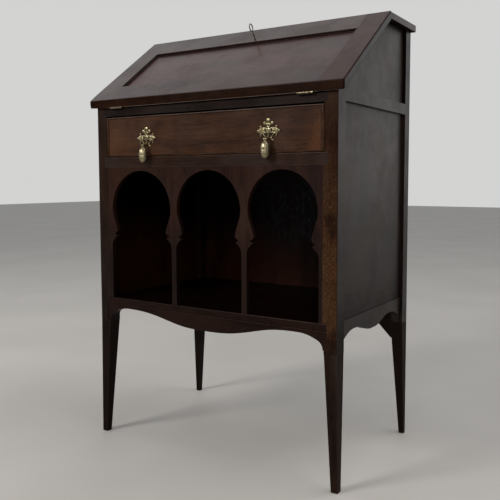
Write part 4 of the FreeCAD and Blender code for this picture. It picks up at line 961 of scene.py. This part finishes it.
def make_drop(side, cx, drop_z):
    """The acorn, with a small ledge round it, and the eye that it hangs by."""
    body, node = "drop_" + side, "handle_drop_" + side
    profile = [(0.0, 0.0002), (0.0018, 0.0002), (0.0027, 0.0000), (0.0032, -0.0005), (0.0031, -0.0012),
               (0.0036, -0.0018), (0.0052, -0.0030), (0.0068, -0.0049), (0.0082, -0.0077), (0.0091, -0.0108),
               (0.0096, -0.0144), (0.0097, -0.0178), (0.0098, -0.0193), (0.0100, -0.0199), (0.0100, -0.0202),
               (0.0093, -0.0204), (0.0088, -0.0210), (0.0089, -0.0216), (0.0093, -0.0233), (0.0090, -0.0264),
               (0.0080, -0.0295), (0.0064, -0.0322), (0.0044, -0.0343), (0.0023, -0.0355), (0.0010, -0.0359),
               (0.0, -0.0360)]
    turned(node + "_acorn", profile, (cx, DROP_Y, drop_z - 0.0034), (M["brass"],), body, node, 56)
    form = {"verts": [], "faces": []}
    blob(form, (cx, DROP_Y, drop_z), (0.0026, 0.0026, 0.00155), ACROSS, "ring", 0.29)
    blob(form, (cx, DROP_Y, drop_z - 0.0028), (0.0015, 0.0015, 0.0012), None, "rod")
    cast(form, node + "_eye", 0.0003, body, node, (M["brass"],), 1)


def make_handles():
    for side, sign in (("left", -1), ("right", 1)):
        cx = sign * HANDLE_X
        cz = HANDLE_Z[sign]
        make_plate(side, cx, cz, cz - DROP_BELOW)
        make_drop(side, cx, cz - DROP_BELOW)


def countersunk(name, place, turn, body):
    """A flat screw head with a slot, let in flush."""
    steps = 24
    radius = 0.0027
    radius_in = radius * 0.88
    radius_out = radius_in * 1.14
    slot = radius * 0.13
    slot_depth = 0.00035
    bm = bmesh.new()

    def circle(r, z):
        angles = [2 * math.pi * i / steps for i in range(steps)]
        return [bm.verts.new((r * math.cos(a), r * math.sin(a), z)) for a in angles]

    top, low, base = circle(radius_in, 0.0), circle(radius, -0.00018), circle(radius_out, -0.0006)
    for i in range(steps):
        j = (i + 1) % steps
        bm.faces.new((top[i], low[i], low[j], top[j]))
        bm.faces.new((low[i], base[i], base[j], low[j]))
    slot_x = math.sqrt(radius_in ** 2 - slot ** 2)
    rims = []
    for sy in (-1, 1):
        a, b = [bm.verts.new((x, sy * slot, 0)) for x in (-slot_x, slot_x)]
        half = sorted([v for v in top if v.co.y * sy > slot], key=lambda v: -v.co.x * sy)
        bm.faces.new([b, *half, a] if sy > 0 else [a, *half, b])
        rims.append((a, b))
    floor = [bm.verts.new((v.co.x, v.co.y, -slot_depth)) for rim in rims for v in rim]
    bm.faces.new((floor[0], floor[1], floor[3], floor[2]))
    bm.faces.new((rims[0][0], rims[0][1], floor[1], floor[0]))
    bm.faces.new((rims[1][1], rims[1][0], floor[2], floor[3]))
    for v in bm.verts:
        v.co = turn @ v.co + Vector(place)
    mesh = bpy.data.meshes.new(name)
    bm.to_mesh(mesh)
    bm.free()
    smooth(mesh, 30.0)
    add_object(name, mesh, body, None, (M["old_brass"],))


def make_hinges():
    """The leaves of both hinges, each with three screws of which the middle one sits further from the pin."""
    pitch, from_pin, stagger, proud = 0.0125, 0.0118, 0.0025, 0.00002
    for side, sign in (("left", -1), ("right", 1)):
        fixed = "hinge_fixed_leaf_" + side
        moving = "hinge_moving_leaf_" + side
        for leaf in (fixed, moving):
            dressed(leaf, 0.0002, "hinge_brass", segments=2)
        for i in range(3):
            x = sign * HINGE_X + (i - 1) * pitch
            along = from_pin + (stagger if i == 1 else 0)
            countersunk(f"{fixed}_screw_{i + 1}", (x, PIN_Y + along, BED_Z + proud),
                        Matrix.Rotation(0.5 + i, 3, "Z"), "case")
            turn = Matrix.Rotation(SLOPE + math.pi, 3, "X") @ Matrix.Rotation(0.9 + i, 3, "Z")
            countersunk(f"{moving}_screw_{i + 1}", on_slope(x, along, -proud), turn, "fall")


def make_key():
    """The shank with its collars and bit, and an oval bow of round wire."""
    form = {"verts": [], "faces": []}
    tilt = Matrix.Rotation(SLOPE, 4, "X")
    bow_low = FALL_T + 0.019
    bow_high, bow_wide = 0.0095, 0.00725
    wire = 0.00138

    def at(h, ds=0.0):
        return on_slope(KEY_X, KEY_S + ds, h)

    def rod(h0, h1, r):
        blob(form, at((h0 + h1) / 2), (r, r, (h1 - h0) / 2), tilt, "rod")

    rod(0.0022, bow_low + 0.0006, 0.0018)
    rod(bow_low - 0.0034, bow_low - 0.0020, 0.0026)
    rod(bow_low - 0.0052, bow_low - 0.0044, 0.0023)
    rod(FALL_T + 0.0006, FALL_T + 0.0016, 0.0023)
    blob(form, at(0.0043, -0.0038), (0.0009, 0.0021, 0.0018), tilt, "rod")
    steps = 72
    for i in range(steps):
        t = 2 * math.pi * i / steps
        centre = at(bow_low + bow_high + (bow_high - wire) * math.cos(t), (bow_wide - wire) * math.sin(t))
        blob(form, centre, (wire, wire, wire))
    voxel = 0.00026
    cast(form, "door_key_forged", voxel, "key", "door_key", (M["steel"],), 2)


def dress_metal():
    finish = {"lock_case": "old_brass", "lock_keeper": "old_brass", "stay_case_arms": "brass",
              "stay_fall_arms": "brass", "stay_case_brackets": "brass", "stay_fall_brackets": "brass",
              "handle_bolts": "brass", "lock_bolt": "steel"}
    for node, mat in finish.items():
        dressed(node, 0.00025, mat, segments=2)


# Stage, world and lamps

def make_stage():
    bm = bmesh.new()
    bmesh.ops.create_grid(bm, x_segments=8, y_segments=8, size=14.0)
    for v in bm.verts:
        v.co.z = -0.0002
    mesh = bpy.data.meshes.new("floor")
    bm.to_mesh(mesh)
    bm.free()
    floor = bpy.data.objects.new("floor", mesh)
    bpy.context.scene.collection.objects.link(floor)
    s = Shade("pale_floor")
    clouds = s.ramp(s.noise(s.coords(), 2.2, 3.0, 0.5), 0.3, 0.7)
    color = s.mix(clouds, (0.365, 0.345, 0.322), (0.395, 0.373, 0.35))
    floor.data.materials.append(s.finish(color, 0.55, None, spec=0.3))


def make_world():
    """A soft room: the camera sees an even wall, and the polish mirrors a room brighter at the back."""
    world = bpy.data.worlds.new("studio")
    bpy.context.scene.world = world
    world.use_nodes = True
    s = Nodes(world.node_tree)

    def background(color, strength=1.0):
        b = s.node("ShaderNodeBackground")
        if isinstance(color, tuple):
            b.inputs["Color"].default_value = (*color, 1)
        else:
            s.link(color, b.inputs["Color"])
        b.inputs["Strength"].default_value = strength
        return b.outputs[0]

    def choose(share, a, b):
        m = s.node("ShaderNodeMixShader")
        for i, v in enumerate((share, a, b)):
            s.link(v, m.inputs[i])
        return m.outputs[0]

    ray = s.node("ShaderNodeLightPath").outputs
    split = s.node("ShaderNodeSeparateXYZ")
    s.link(s.node("ShaderNodeTexCoord").outputs["Generated"], split.inputs[0])
    room = s.mix(s.ramp(split.outputs["Y"], -0.65, 0.25), (0.10, 0.095, 0.09), (0.70, 0.71, 0.71))
    lit = choose(ray["Is Glossy Ray"], background((0.90, 0.93, 0.96), 0.5), background(room))
    seen = s.math("MAXIMUM", ray["Is Camera Ray"], ray["Is Transmission Ray"])
    wall = choose(seen, lit, background((0.65, 0.65, 0.645)))
    s.link(wall, s.node("ShaderNodeOutputWorld").inputs[0])


def area_lamp(name, place, target, size, power, color=(1, 1, 1)):
    data = bpy.data.lights.new(name, "AREA")
    data.shape = "RECTANGLE"
    data.size, data.size_y = size
    data.energy = power
    data.color = color
    lamp = bpy.data.objects.new(name, data)
    lamp.location = place
    lamp.rotation_mode = "QUATERNION"
    lamp.rotation_quaternion = (Vector(target) - Vector(place)).to_track_quat("-Z", "Y")
    bpy.context.scene.collection.objects.link(lamp)


def make_lamps():
    area_lamp("key_lamp", (-1.5, -2.8, 2.6), (0, 0, 0.5), (1.0, 1.0), 85, (1.0, 0.97, 0.93))
    area_lamp("fill_lamp", (1.6, -3.2, 2.4), (0, 0, 0.5), (2.4, 1.8), 35, (1.0, 0.98, 0.95))
    area_lamp("top_lamp", (1.6, 0.6, 3.4), (0, 0, 0.5), (2.6, 2.0), 55)
    area_lamp("left_lamp", (-3.2, -0.6, 2.2), (0, 0, 0.5), (1.8, 1.6), 22, (0.95, 0.98, 1.0))


make_camera()
make_materials()
dress_wood()
make_fall_moulding()
make_drawer_bead()
make_hinges()
dress_metal()
make_key()
make_handles()
make_stage()
make_world()
make_lamps()
bpy.context.scene.view_settings.view_transform = "Standard"
